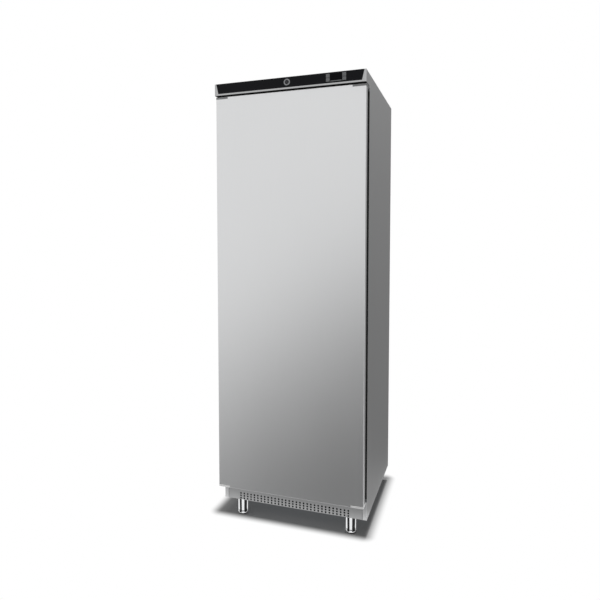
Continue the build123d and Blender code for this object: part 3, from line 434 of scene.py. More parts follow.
class FreezerFinishes(bpy.types.PropertyGroup):
    """Colours of the freezer's materials."""

    steel: a_colour("Stainless steel", "Colour of the brushed sheet", (0.72, 0.725, 0.73))
    steel_roughness: FloatProperty(
        name="Steel roughness",
        description="How far the brushed sheet blurs what it reflects",
        subtype="FACTOR",
        default=0.33,
        min=0.0,
        max=1.0,
    )
    zinc: a_colour("Galvanised sheet", "Colour of the hidden galvanised sheets", (0.50, 0.52, 0.54))
    white: a_colour("Liner white", "Colour of the moulded inner liners", (0.80, 0.82, 0.83))
    panel_black: a_colour(
        "Panel black", "Colour of the strip around the lock and controller", (0.004, 0.0045, 0.006)
    )
    key_grey: a_colour("Key grey", "Colour of the controller's keys", (0.16, 0.165, 0.17))
    # The door's four caps are one material: the upper caps' grey is painted shade, the lower caps'
    # bright satin metal a painted highlight.
    cap_grey: a_colour("Upper cap", "Colour of the door's upper corner caps", (0.30, 0.305, 0.31))
    cap_bright: a_colour("Lower cap", "Colour of the door's lower corner caps", (0.92, 0.92, 0.92))
    rubber: a_colour("Rubber", "Colour of the gasket and the mounts", (0.012, 0.012, 0.013))
    copper: a_colour("Copper", "Colour of the refrigerant pipes", (0.70, 0.34, 0.20))
    foam: a_colour("Foam", "Colour of the polyurethane foam", (0.74, 0.62, 0.36))


class FreezerShelves(bpy.types.PropertyGroup):
    """Sizes of the evaporator shelves."""

    tube: a_length("Tube radius", "Radius of the refrigerant tube", 0.004)
    wire: a_length("Wire radius", "Radius of the welded wires", 0.0016)
    bend: a_length("Bend radius", "Radius of the tube's bends", 0.030)
    runs: IntProperty(
        name="Tube runs", description="Straight runs of tube in each shelf", default=4, min=2
    )
    wires: IntProperty(
        name="Wires", description="Wires laid across the tube in each shelf", default=15, min=2
    )


class FreezerVents(bpy.types.PropertyGroup):
    """Sizes of the kick plate's perforations."""

    radius: a_length("Hole radius", "Radius of one round hole", 0.0038)
    columns: IntProperty(name="Columns", description="Holes in a row", default=31, min=1)
    rows: IntProperty(name="Rows", description="Rows of holes", default=3, min=1)
    pitch_x: a_length("Column pitch", "Distance between columns", 0.0152)
    pitch_z: a_length("Row pitch", "Distance between rows", 0.0102)
    bottom: a_length("Lowest row", "Height of the lowest row above the plate's edge", 0.0062)


class FreezerStage(bpy.types.PropertyGroup):
    """The studio: camera, lamps and floor."""

    camera: a_place("Camera place", "Where the camera stands", (0.672, -2.174, 1.140))
    turn: an_angle("Turn", "How far the camera looks to the left of straight ahead", 18.66)
    tilt: an_angle("Tilt", "How far the camera looks down", 3.04)
    lens: FloatProperty(
        name="Focal length",
        description="Focal length on a 36 mm sensor",
        subtype="DISTANCE_CAMERA",
        default=31.452,
    )
    shift: FloatVectorProperty(
        name="Shift",
        description="Sideways and upward shift of the frame, in frame widths",
        size=2,
        default=(3.4 / 600.0, -0.05),
    )
    sun: FloatProperty(
        name="Overhead light",
        description="Strength of the lamp above, which casts the shadow on the floor",
        default=2.2,
    )
    key_power: FloatProperty(
        name="Front light",
        description="Power of the large soft lamp on the left",
        unit="POWER",
        default=34.0,
    )
    sky: FloatProperty(
        name="Room light", description="Strength of the light from all round", default=0.25
    )
    # A low floor tone darkens the shadow patch beyond what the lamps' shadow gives: painted shadow.
    floor: FloatProperty(
        name="Floor tone",
        description="Share of the light that the floor in the shadow gives back",
        subtype="FACTOR",
        default=0.26,
    )
    shadow_low: a_place("Shadow start", "Left front corner of the shaded floor", (-0.325, -0.212))
    shadow_high: a_place("Shadow end", "Right rear corner of the shaded floor", (0.285, 0.31))
    shadow_edge: a_length("Shadow edge", "Width over which the floor fades to white", 0.055)


SETTINGS = {
    "freezer_finishes": FreezerFinishes,
    "freezer_shelves": FreezerShelves,
    "freezer_vents": FreezerVents,
    "freezer_stage": FreezerStage,
}


# ---------------------------------------------------------------- finishes
UPRIGHT = (900.0, 900.0, 7.0)
ACROSS = (7.0, 900.0, 900.0)


def brushed_steel(name, colour, roughness, grain, tone=1.0):
    """Brushed sheet: fine scratches along the grain and faint cloudy bands."""
    f = Finish(name)
    scratch = f.noise(grain, detail=3.0, roughness=0.65)
    cloud = f.noise((3.0, 3.0, 2.0))
    # A tone below one darkens the whole sheet; the side, housing and kick plate copies use it as
    # painted shade.
    toned = [tone * part for part in colour]
    return f.surface(
        Base_Color=f.shades(0.55 * scratch + 0.45 * cloud, toned, 0.90),
        Metallic=1.0,
        Roughness=roughness - 0.05 + 0.06 * scratch + 0.05 * cloud,
        Normal=f.bump(scratch, 0.05),
    )


def galvanised(name, colour):
    """Zinc-coated sheet with its spangle of flat crystals."""
    f = Finish(name)
    crystals = f.node(
        "ShaderNodeTexVoronoi",
        {"feature": "F1"},
        {"Vector": f.place, "Scale": 90.0, "Randomness": 1.0},
        output="Color",
    )
    shade = f.node("ShaderNodeSeparateColor", None, {"Color": crystals})
    return f.surface(
        Base_Color=f.shades(shade, colour, 0.78),
        Metallic=0.9,
        Roughness=0.38 + 0.16 * shade,
        Normal=f.bump(shade, 0.04),
    )


def moulded(name, colour, roughness, grain=600.0, depth=0.12, specular=0.5):
    """Moulded plastic: a fine texture from the tool and a slow drift of tone."""
    f = Finish(name)
    texture = f.noise((grain, grain, grain))
    drift = f.noise((7.0, 7.0, 7.0), detail=1.0)
    return f.surface(
        Base_Color=f.shades(0.3 * texture + 0.7 * drift, colour, 0.88),
        Roughness=roughness - 0.04 + 0.08 * texture,
        Specular_IOR_Level=specular,
        Normal=f.bump(texture, depth),
    )


def rubber(name, colour):
    """Soft extruded rubber or vinyl, with faint dust in patches."""
    f = Finish(name)
    texture = f.noise((900.0, 900.0, 900.0), detail=3.0)
    dust = f.noise((25.0, 25.0, 25.0), detail=3.0)
    pale = tuple(channel + 0.012 for channel in colour)
    return f.surface(
        Base_Color=f.blend(dust, tuple(colour), pale),
        Roughness=0.72 + 0.2 * dust,
        Specular_IOR_Level=0.1,
        Normal=f.bump(texture, 0.1),
    )


def painted(name, colour, roughness, coat=0.0):
    """Stoved paint on metal, with the slight orange peel that it dries to."""
    f = Finish(name)
    peel = f.noise((260.0, 260.0, 260.0), detail=1.0)
    drift = f.noise((6.0, 6.0, 6.0))
    return f.surface(
        Base_Color=f.shades(drift, colour, 0.86),
        Roughness=roughness + 0.06 * drift,
        Coat_Weight=coat,
        Normal=f.bump(peel, 0.08, 0.0003),
    )


def plated(name, colour, roughness):
    """Bright plated or polished metal with faint wiping marks."""
    f = Finish(name)
    wiped = f.noise((40.0, 40.0, 9.0), detail=3.0)
    return f.surface(
        Base_Color=f.shades(wiped, colour, 0.93),
        Metallic=1.0,
        Roughness=roughness + 0.05 * wiped,
    )


def drawn_copper(name, colour):
    """Copper tube, brighter where it was handled and browned elsewhere."""
    f = Finish(name)
    stain = f.noise((18.0, 18.0, 18.0), detail=4.0)
    brown = (0.36 * colour[0], 0.40 * colour[1], 0.45 * colour[2])
    return f.surface(
        Base_Color=f.blend(stain ** 1.6, tuple(colour), brown),
        Metallic=1.0,
        Roughness=0.28 + 0.2 * stain,
    )


class FREEZER_OT_finishes(bpy.types.Operator):
    """Make the freezer's materials and dress every frame node in the one of its slot"""

    bl_idname = "freezer.finishes"
    bl_label = "Finishes"

    def execute(self, context):
        tones = context.scene.freezer_finishes
        steel, rough = tones.steel, tones.steel_roughness
        finishes.update(
            stainless=brushed_steel("stainless_upright_grain", steel, rough, UPRIGHT),
            stainless_across=brushed_steel("stainless_cross_grain", steel, rough, ACROSS),
            # The side panels', housing's and kick plate's sheets are darker copies of the one steel:
            # painted shade.
            side_steel=brushed_steel("side_sheet_grain", steel, rough + 0.05, UPRIGHT, 0.57),
            housing_steel=brushed_steel("housing_grain", steel, rough, ACROSS, 0.62),
            kick_steel=brushed_steel("kick_plate_grain", steel, rough, ACROSS, 0.66),
            galvanised=galvanised("galvanised_sheet", tones.zinc),
            frame_grey=painted("frame_grey_paint", (0.52, 0.53, 0.54), 0.35),
            foam=moulded("polyurethane_foam", tones.foam, 0.9, 300.0, 0.6, 0.2),
            liner_white=moulded("liner_white_plastic", tones.white, 0.26, 350.0, 0.05),
            panel_black=moulded("panel_black_plastic", tones.panel_black, 0.32, 900.0, 0.04, 0.10),
            # The display's dark, the gasket's black, the mount rubber and the cover's black also
            # serve as painted shade on other pieces.
            display_dark=moulded(
                "display_dark_window", (0.003, 0.003, 0.004), 0.22, 900.0, 0.02, 0.05
            ),
            key_grey=moulded("key_grey_plastic", tones.key_grey, 0.42, 900.0, 0.1),
            # Upper caps in darker grey, painted shade; lower caps in bright satin metal, a painted
            # highlight.
            cap_grey=moulded("cap_grey_plastic", tones.cap_grey, 0.40, 700.0, 0.1),
            cap_bright=plated("cap_satin_metal", tones.cap_bright, 0.60),
            grip_black=moulded("grip_black_plastic", (0.02, 0.02, 0.021), 0.45, 600.0, 0.2),
            nylon_white=moulded("nylon_white", (0.72, 0.72, 0.69), 0.45, 500.0, 0.1),
            gasket_black=rubber("gasket_black_vinyl", tones.rubber),
            mount_rubber=rubber("mount_rubber_black", tones.rubber),
            chrome=plated("chrome_plate", (0.86, 0.87, 0.88), 0.06),
            lock_steel=plated("lock_satin_steel", (0.22, 0.225, 0.23), 0.24),
            lock_dark=plated("lock_plug_steel", (0.035, 0.035, 0.038), 0.30),
            zinc=plated("zinc_plated_steel", (0.58, 0.60, 0.62), 0.28),
            wire_white=painted("wire_white_coating", (0.72, 0.75, 0.77), 0.33),
            compressor_black=painted("compressor_black_enamel", (0.012, 0.012, 0.013), 0.22, 0.4),
            cover_black=moulded("cover_black_plastic", (0.018, 0.018, 0.02), 0.5, 500.0, 0.2),
            coil_black=painted("coil_black_paint", (0.018, 0.018, 0.018), 0.5),
            grille_black=painted("grille_black_paint", (0.028, 0.028, 0.03), 0.42),
            copper=drawn_copper("refrigerant_copper", tones.copper),
            fan_aluminium=plated("fan_aluminium", (0.66, 0.67, 0.68), 0.34),
        )
        for node, part in frame["nodes"].items():
            part.data.materials.clear()
            part.data.materials.append(finishes[slot_of[node]])
        return {"FINISHED"}


# ---------------------------------------------------------------- cabinet and door
class FREEZER_OT_cabinet(bpy.types.Operator):
    """Ease the folds and cut edges of the cabinet's sheets"""

    bl_idname = "freezer.cabinet"
    bl_label = "Cabinet sheets"

    def execute(self, context):
        for node in ("side_panel_left", "side_panel_right"):
            # Each panel's outer faces take the darker copy of the steel, painted shade; its front
            # flange faces keep the full-tone steel.
            panel = eased_node(node, 0.0003, finish=finishes["side_steel"])
            second_finish(panel, finishes["stainless_across"], lambda face: face.normal.y < -0.5)
        for node in ("back_panel", "top_panel"):
            eased_node(node, 0.0003)
        # The housing's face takes the darker copy of the steel, painted shade, and its underside the
        # gasket's black, painted shade under its overhang.
        housing = eased_node("control_housing", 0.0004, 3, finishes["housing_steel"])
        second_finish(housing, finishes["gasket_black"], lambda face: face.normal.z < -0.6)
        self.add_gap_painted_shade()
        for node in ("hinge_bracket_top", "hinge_bracket_bottom"):
            eased_node(node, 0.0005)
        for node in ("hinge_bolts", "inner_liner", "temperature_probe"):
            eased_node(node, 0.0006)
        eased_node("shelf_clips", 0.0008)
        return {"FINISHED"}

    def add_gap_painted_shade(self):
        """Thin black strips on the cabinet's front flanges: painted shade in the gap behind the
        door's edge.
        """
        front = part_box("front_frame")[0].y
        panel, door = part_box("side_panel_right"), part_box("door_skin")
        inner_gap, rim, thickness = 0.006, 0.0001, 0.0006
        strips = []
        for side in (-1, 1):
            near, far = sorted((side * (panel[0].x + inner_gap), side * (panel[1].x - rim)))
            strips.append(((near, front - thickness, door[0].z), (far, front, door[1].z)))
        mesh = eased(box_mesh("flange_seals", *strips), 0.0001)
        piece("flange_seals", mesh, finishes["gasket_black"], "cabinet", slot="gasket_black")


class FREEZER_OT_door(bpy.types.Operator):
    """Finish the door: skin, caps, grip, liner, gasket, bushes and lock keeper"""

    bl_idname = "freezer.door"
    bl_label = "Door"

    def execute(self, context):
        self.add_skin()
        # The caps split at their middle height: the upper ones keep the grey, painted shade under
        # the housing; the lower ones take the bright metal, a painted highlight.
        caps = eased_node("corner_caps", 0.0009, 3)
        middle = sum(corner.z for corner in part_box("corner_caps")) / 2
        second_finish(caps, finishes["cap_bright"], lambda face: face.center.z < middle)
        eased_node("door_grip", 0.0008)
        eased_node("door_liner", 0.0025, 3)
        eased_node("lock_keeper", 0.0004)
        eased_node("hinge_bushes", 0.0005)
        eased_node("door_gasket", 0.0006)
        return {"FINISHED"}

    def add_skin(self):
        """The folded skin, whose returns are black at their rear: partly a dark edging, partly
        painted shade in the gap beside the cabinet.
        """
        edging_width = 0.022
        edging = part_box("door_skin")[1].y - edging_width
        shape = bmesh.new()
        shape.from_mesh(node_mesh("door_skin"))
        everything = [*shape.verts, *shape.edges, *shape.faces]
        bmesh.ops.bisect_plane(
            shape, geom=everything, plane_co=(0.0, edging, 0.0), plane_no=(0.0, 1.0, 0.0)
        )
        mesh = eased(to_mesh(shape, "door_skin"), 0.0003)
        skin = piece(
            "door_skin_folded", mesh, finishes[slot_of["door_skin"]], "door", ("door_skin",)
        )
        # Black on the rear of the returns: partly edging, partly painted shade in the gap.
        second_finish(
            skin,
            finishes["gasket_black"],
            lambda face: face.center.y > edging and abs(face.normal.y) < 0.5,
        )


# ---------------------------------------------------------------- kick plate
class FREEZER_OT_kick_plate(bpy.types.Operator):
    """Punch the kick plate's round holes and fold its lower edge"""

    bl_idname = "freezer.kick_plate"
    bl_label = "Perforated kick plate"

    def execute(self, context):
        vents = context.scene.freezer_vents
        low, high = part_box("kick_plate")
        sheet, seam, fold_set_in = 0.0006, 0.0005, 0.004
        fold_x = high.x - fold_set_in
        height = high.z - low.z
        rows_middle = vents.bottom + vents.pitch_z * (vents.rows - 1) / 2
        tree = Recipe(
            "perforated_plate",
            {
                "Width": high.x - low.x - 2 * seam,
                "Height": height,
                "Sheet": sheet,
                "Hole Radius": vents.radius,
                "Columns": vents.columns,
                "Rows": vents.rows,
                "Field Width": vents.pitch_x * (vents.columns - 1),
                "Field Height": vents.pitch_z * (vents.rows - 1),
                "Field Rise": rows_middle - height / 2,
                "Place": (0.0, low.y, low.z + height / 2),
                # The darker copy of the steel: painted shade under the door's overhang.
                "Material": finishes["kick_steel"],
            },
        )
        outline = tree.step(
            "CurvePrimitiveQuadrilateral", Width=tree["Width"], Height=tree["Height"]
        )
        grid = tree.step(
            "MeshGrid",
            Size_X=tree["Field Width"],
            Size_Y=tree["Field Height"],
            Vertices_X=tree["Columns"],
            Vertices_Y=tree["Rows"],
        )
        rise = tree.vector(Y=tree["Field Rise"])
        field = tree.step("Transform", Geometry=grid, Translation=rise)
        hole = tree.step("CurvePrimitiveCircle", Resolution=14, Radius=tree["Hole Radius"])
        holes = tree.step("InstanceOnPoints", Points=field, Instance=hole)
        punched = tree.step("RealizeInstances", Geometry=holes)
        edges = tree.step("JoinGeometry", Geometry=[outline, punched])
        face = tree.step("FillCurve", Curve=edges)
        front = tree.step("ExtrudeMesh", Mesh=face, Offset_Scale=tree["Sheet"], Individual=False)
        back = tree.step("FlipFaces", Mesh=face)
        plate = tree.step("JoinGeometry", Geometry=[front, back])
        upright = tree.step(
            "Transform",
            Geometry=plate,
            Translation=tree["Place"],
            Rotation=(math.pi / 2, 0.0, 0.0),
        )
        back_set = tree.vector(Y=tree["Sheet"])
        seated = tree.step("Transform", Geometry=upright, Translation=back_set)
        welded = tree.step("MergeByDistance", Geometry=seated, Distance=WELD)
        whole = tree.step("JoinGeometry", Geometry=[welded, tree["Geometry"]])
        fold = box_mesh(
            "kick_plate_fold",
            ((-fold_x, low.y + sheet, low.z), (fold_x, high.y, low.z + sheet)),
        )
        mesh = tree.run("kick_plate_punched", fold, whole)
        piece("kick_plate_punched", smoothed(mesh), None, "cabinet", ("kick_plate",))
        self.add_painted_shade_sheet(low, high, sheet)
        return {"FINISHED"}

    def add_painted_shade_sheet(self, low, high, sheet):
        """The dark sheet behind the plate: painted shade, which makes its holes read as deep."""
        gap, back, under, over = 0.00005, 0.00095, 0.0008, 0.0002
        mesh = box_mesh(
            "kick_plate_dark",
            ((low.x, low.y + sheet + gap, low.z + under), (high.x, low.y + back, high.z - over)),
        )
        piece("kick_plate_dark", mesh, finishes["display_dark"], "cabinet", slot="display_dark")


# ---------------------------------------------------------------- control panel
class FREEZER_OT_controller(bpy.types.Operator):
    """Finish the black strip, the temperature controller, its window and its keys"""

    bl_idname = "freezer.controller"
    bl_label = "Temperature controller"

    key_signs = {"key_up": "up", "key_down": "down", "key_power": "power", "key_set": "bars"}

    def execute(self, context):
        eased_node("control_fascia", 0.0002)
        eased_node("controller_case", 0.0006, 3)
        eased_node("display_window", 0.0003)
        for node, sign in self.key_signs.items():
            eased_node(node, 0.0007, 3)
            self.add_sign(node, sign)
        self.add_strip()
        return {"FINISHED"}

    def outlines(self, sign):
        """A sign's outlines in shares of its half width: an arrow, a broken ring or two bars."""
        if sign == "power":
            inner = 0.72
            turns = [math.radians(125 + 29 * step) for step in range(11)]
            ring = [
                [
                    (size * math.cos(angle), size * math.sin(angle))
                    for size, angle in ((1.0, start), (1.0, stop), (inner, stop), (inner, start))
                ]
                for start, stop in zip(turns, turns[1:])
            ]
            return [*ring, [(-0.14, 0.25), (-0.14, 1.15), (0.14, 1.15), (0.14, 0.25)]]
        if sign == "bars":
            return [
                [(-1.0, low), (-1.0, low + 0.3), (1.0, low + 0.3), (1.0, low)]
                for low in (-0.55, 0.25)
            ]
        tip = 1.0 if sign == "up" else -1.0
        return [[(0.0, tip), (-1.0, -0.6 * tip), (1.0, -0.6 * tip)]]

    def add_sign(self, node, sign):
        """A small mark let into the middle of a key's face."""
        low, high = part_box(node)
        middle = (low + high) / 2
        reach = 0.26 * (high.x - low.x)
        front, back = low.y + 0.00012, low.y + 0.0008
        shape = bmesh.new()
        for outline in self.outlines(sign):
            near, far = (
                [
                    shape.verts.new((middle.x + reach * x, y, middle.z + reach * z))
                    for x, z in outline
                ]
                for y in (front, back)
            )
            shape.faces.new(near)
            shape.faces.new(far[::-1])
            for index in range(len(outline)):
                after = (index + 1) % len(outline)
                shape.faces.new((near[after], near[index], far[index], far[after]))
        bmesh.ops.recalc_face_normals(shape, faces=shape.faces)
        mesh = to_mesh(shape, f"{node}_sign")
        piece(f"{node}_sign", mesh, finishes["nylon_white"], body_of[node], slot="nylon_white")

    def add_strip(self):
        """The pale strip under the display window."""
        window_low, window_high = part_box("display_window")
        case_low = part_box("controller_case")[0]
        inset, proud, sunk, rise, gap = 0.001, 0.0003, 0.0005, 0.0020, 0.0014
        strip = box_mesh(
            "controller_strip",
            (
                (window_low.x + inset, case_low.y - proud, case_low.z + rise),
                (window_high.x - inset, case_low.y + sunk, window_low.z - gap),
            ),
        )
        mesh = eased(strip, 0.0002)
        piece("controller_strip", mesh, finishes["key_grey"], "cabinet", slot="key_grey")


class FREEZER_OT_lock(bpy.types.Operator):
    """Turn the lock's rim, barrel and plug, with the keyhole in it"""

    bl_idname = "freezer.lock"
    bl_label = "Key lock"

    def execute(self, context):
        low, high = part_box("lock_body")
        middle = (low + high) / 2
        centre = Vector((middle.x, low.y, middle.z))
        rim, depth = (high.x - low.x) / 2, high.y - low.y
        plug_low, plug_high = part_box("lock_plug")
        plug = (plug_high.x - plug_low.x) / 2
        clearance, collar = 0.0003, 0.0020
        bore = plug + clearance
        barrel = 0.76 * rim
        body = [
            (bore, depth),
            (bore, 0.0012),
            (bore + 0.0004, 0.0006),
            (bore + 0.0018, 0.0000),
            (rim - 0.0022, 0.0000),
            (rim - 0.0007, 0.0005),
            (rim, 0.0013),
            (rim, collar),
            (barrel, collar),
            (barrel, depth),
            (bore, depth),
        ]
        mesh = turned("lock_body_turned", body, centre, 64, REARWARD, UP)
        piece("lock_body_turned", mesh, finishes["lock_steel"], "cabinet", ("lock_body",))
        self.add_plug(plug_low, plug_high, plug, centre)
        eased_node("lock_cam", 0.0004)
        return {"FINISHED"}

    def add_plug(self, low, high, radius, centre):
        """The plug turns in its barrel; its keyhole is a black block on its face, painted shade
        where the hole is.
        """
        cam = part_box("lock_cam")[0].y
        front, edge = low.y - centre.y, 0.0008
        profile = [
            (0.0, front),
            (radius - edge, front),
            (radius, front + edge),
            (radius, cam - centre.y),
            (0.0, cam - centre.y),
        ]
        spindle = 0.002
        meshes = [
            turned("lock_plug_barrel", profile, centre, 48, REARWARD, UP),
            box_mesh(
                "lock_plug_spindle",
                (
                    (centre.x - spindle, cam, centre.z - spindle),
                    (centre.x + spindle, high.y, centre.z + spindle),
                ),
            ),
        ]
        mesh = smoothed(joined("lock_plug_turned", meshes))
        piece("lock_plug_turned", mesh, finishes["lock_dark"], "lock", ("lock_plug",))
        # The keyhole is a black block laid across the plug's face: painted shade where the hole
        # would be dark.
        half_width, half_height, proud, sunk = 0.0011, 0.0043, 0.00006, 0.0010
        slot = box_mesh(
            "keyhole",
            (
                (centre.x - half_width, low.y - proud, centre.z - half_height),
                (centre.x + half_width, low.y + sunk, centre.z + half_height),
            ),
        )
        piece("keyhole", eased(slot, 0.0003), finishes["cover_black"], "lock", slot="cover_black")


# ---------------------------------------------------------------- feet
class FREEZER_OT_feet(bpy.types.Operator):
    """Turn the chrome sleeves and the four levelling feet with their dark soles"""

    bl_idname = "freezer.feet"
    bl_label = "Levelling feet"

    def execute(self, context):
        feet = [
            node for node in frame["nodes"] if node.startswith("foot_") and "sleeve" not in node
        ]
        low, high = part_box("foot_sleeves")
        places = {}
        for node in feet:
            start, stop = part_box(node)
            places[node] = Vector(((start.x + stop.x) / 2, (start.y + stop.y) / 2, 0.0))
        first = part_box(feet[0])
        shoulder = (first[1].x - first[0].x) / 2
        radius = (high.x - low.x) / 2 - abs(places[feet[0]].x)
        self.add_sleeves(places.values(), radius, low.z, high.z)
        for node, spot in places.items():
            self.add_foot(node, spot, shoulder, first[1].z)
        return {"FINISHED"}

    def add_sleeves(self, places, radius, bottom, top):
        """One turned sleeve, set at each foot by a recipe."""
        bore, roof = 0.0133, 0.007
        profile = [
            (bore, top - roof),
            (bore, bottom),
            (radius - 0.0015, bottom),
            (radius - 0.0004, bottom + 0.0005),
            (radius, bottom + 0.0015),
            (radius, top),
            (0.0, top),
            (0.0, top - roof),
            (bore, top - roof),
        ]
        pattern = turned("sleeve_pattern", profile)
        made = copies("foot_sleeves_turned", pattern, places, finishes["chrome"])
        piece("foot_sleeves_turned", made, None, "cabinet", ("foot_sleeves",))

    def add_foot(self, node, spot, shoulder, top):
        """A bullet foot: rounded sole, swelling side, groove and the stem inside the sleeve."""
        sole, stem, ledge = 0.0155, 0.0130, 0.0145
        profile = [
            (0.0, 0.0),
            (sole - 0.0012, 0.0),
            (sole, 0.0010),
            (sole + 0.0004, 0.0035),
            (sole + 0.0022, 0.0060),
            (shoulder - 0.0004, 0.0090),
            (shoulder, 0.0105),
            (shoulder, 0.0133),
            (shoulder - 0.0010, ledge),
            (stem, ledge),
            (stem, top - 0.001),
            (stem - 0.001, top),
            (0.0, top),
        ]
        mesh = turned(f"{node}_turned", profile, spot)
        foot = piece(f"{node}_turned", mesh, finishes["chrome"], body_of[node], (node,))
        # The sole is dark rubber; the band in the groove under the sleeve takes the same dark finish
        # as painted shade.
        sole_top, groove_top = 0.0058, 0.018

        def is_dark(face):
            return face.center.z < sole_top or ledge - 0.0001 < face.center.z < groove_top

        second_finish(foot, finishes["mount_rubber"], is_dark)


# ---------------------------------------------------------------- shelves
class FREEZER_OT_shelves(bpy.types.Operator):
    """Bend the evaporator tube of every shelf and lay the wires and rails on it"""

    bl_idname = "freezer.shelves"
    bl_label = "Evaporator shelves"

    run_set_in = 0.025
    end_set_in = 0.012
    turn_set_in = 0.020
    rail_set_in = 0.005

    def execute(self, context):
        sizes = context.scene.freezer_shelves
        white = finishes["wire_white"]
        levels = []
        for node in sorted(n for n in frame["nodes"] if n.startswith("shelf_") and n[-1].isdigit()):
            low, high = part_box(node)
            level = low.z + sizes.tube
            levels.append(level)
            winding = [self.winding(low, high, level, sizes)]
            lines = self.wire_lines(low, high, level, sizes)
            tube = bent_tube(f"{node}_tube", winding, sizes.tube, sizes.bend, white)
            wires = bent_tube(f"{node}_wires", lines, sizes.wire, 0.0, white, 8)
            mesh = smoothed(joined(f"{node}_wired", [tube, wires]), 50.0)
            piece(f"{node}_wired", mesh, white, "cabinet", (node,))
        self.add_risers(levels, sizes)
        return {"FINISHED"}

    def run_places(self, low, high, sizes):
        """Depth of each straight run of tube, from the back to the front."""
        step = (high.y - low.y - 2 * self.run_set_in) / (sizes.runs - 1)
        return [high.y - self.run_set_in - index * step for index in range(sizes.runs)]

    def winding(self, low, high, level, sizes):
        """Corners of the tube's way through a shelf, turning at its two ends in alternation."""
        end = high.x - sizes.wire - self.end_set_in
        turn = high.x - sizes.wire - self.turn_set_in
        ys = self.run_places(low, high, sizes)
        route = [(end, ys[0], level)]
        side = -1
        for near, far in zip(ys, ys[1:]):
            route += [(side * turn, near, level), (side * turn, far, level)]
            side = -side
        last = end if sizes.runs % 2 == 0 else -end
        return route + [(last, ys[-1], level)]

    def wire_lines(self, low, high, level, sizes):
        """Wires from front to back on the tube, and two rails across them."""
        reach = high.x - sizes.wire
        seat = level + sizes.tube + sizes.wire
        step = 2 * reach / (sizes.wires - 1)
        lines = [
            [(-reach + index * step, low.y, seat), (-reach + index * step, high.y, seat)]
            for index in range(sizes.wires)
        ]
        for y in (low.y + self.rail_set_in, high.y - self.rail_set_in):
            rail = seat + 2 * sizes.wire
            lines.append([(-high.x, y, rail), (high.x, y, rail)])
        return lines

    def add_risers(self, levels, sizes):
        """Tubes that lead from shelf to shelf, and the two that leave through the back wall."""
        low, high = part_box("shelf_risers")
        shelf_low, shelf_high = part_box("shelf_1")
        ys = self.run_places(shelf_low, shelf_high, sizes)
        x = (low.x + high.x) / 2 if sizes.runs % 2 == 0 else high.x - sizes.tube
        end = shelf_high.x - sizes.wire - self.end_set_in
        routes = []
        for index, (start, stop) in enumerate(zip(levels, levels[1:])):
            y = ys[-1] if index % 2 == 0 else ys[0]
            routes.append([(end, y, start), (x, y, start), (x, y, stop), (end, y, stop)])
        for level in (levels[0], levels[-1]):
            routes.append([(end, ys[0], level), (x, ys[0], level), (x, high.y, level)])
        radius, bend = 0.98 * sizes.tube, 0.0036
        mesh = bent_tube("shelf_risers_bent", routes, radius, bend, finishes["wire_white"])
        piece("shelf_risers_bent", mesh, None, "cabinet", ("shelf_risers",))


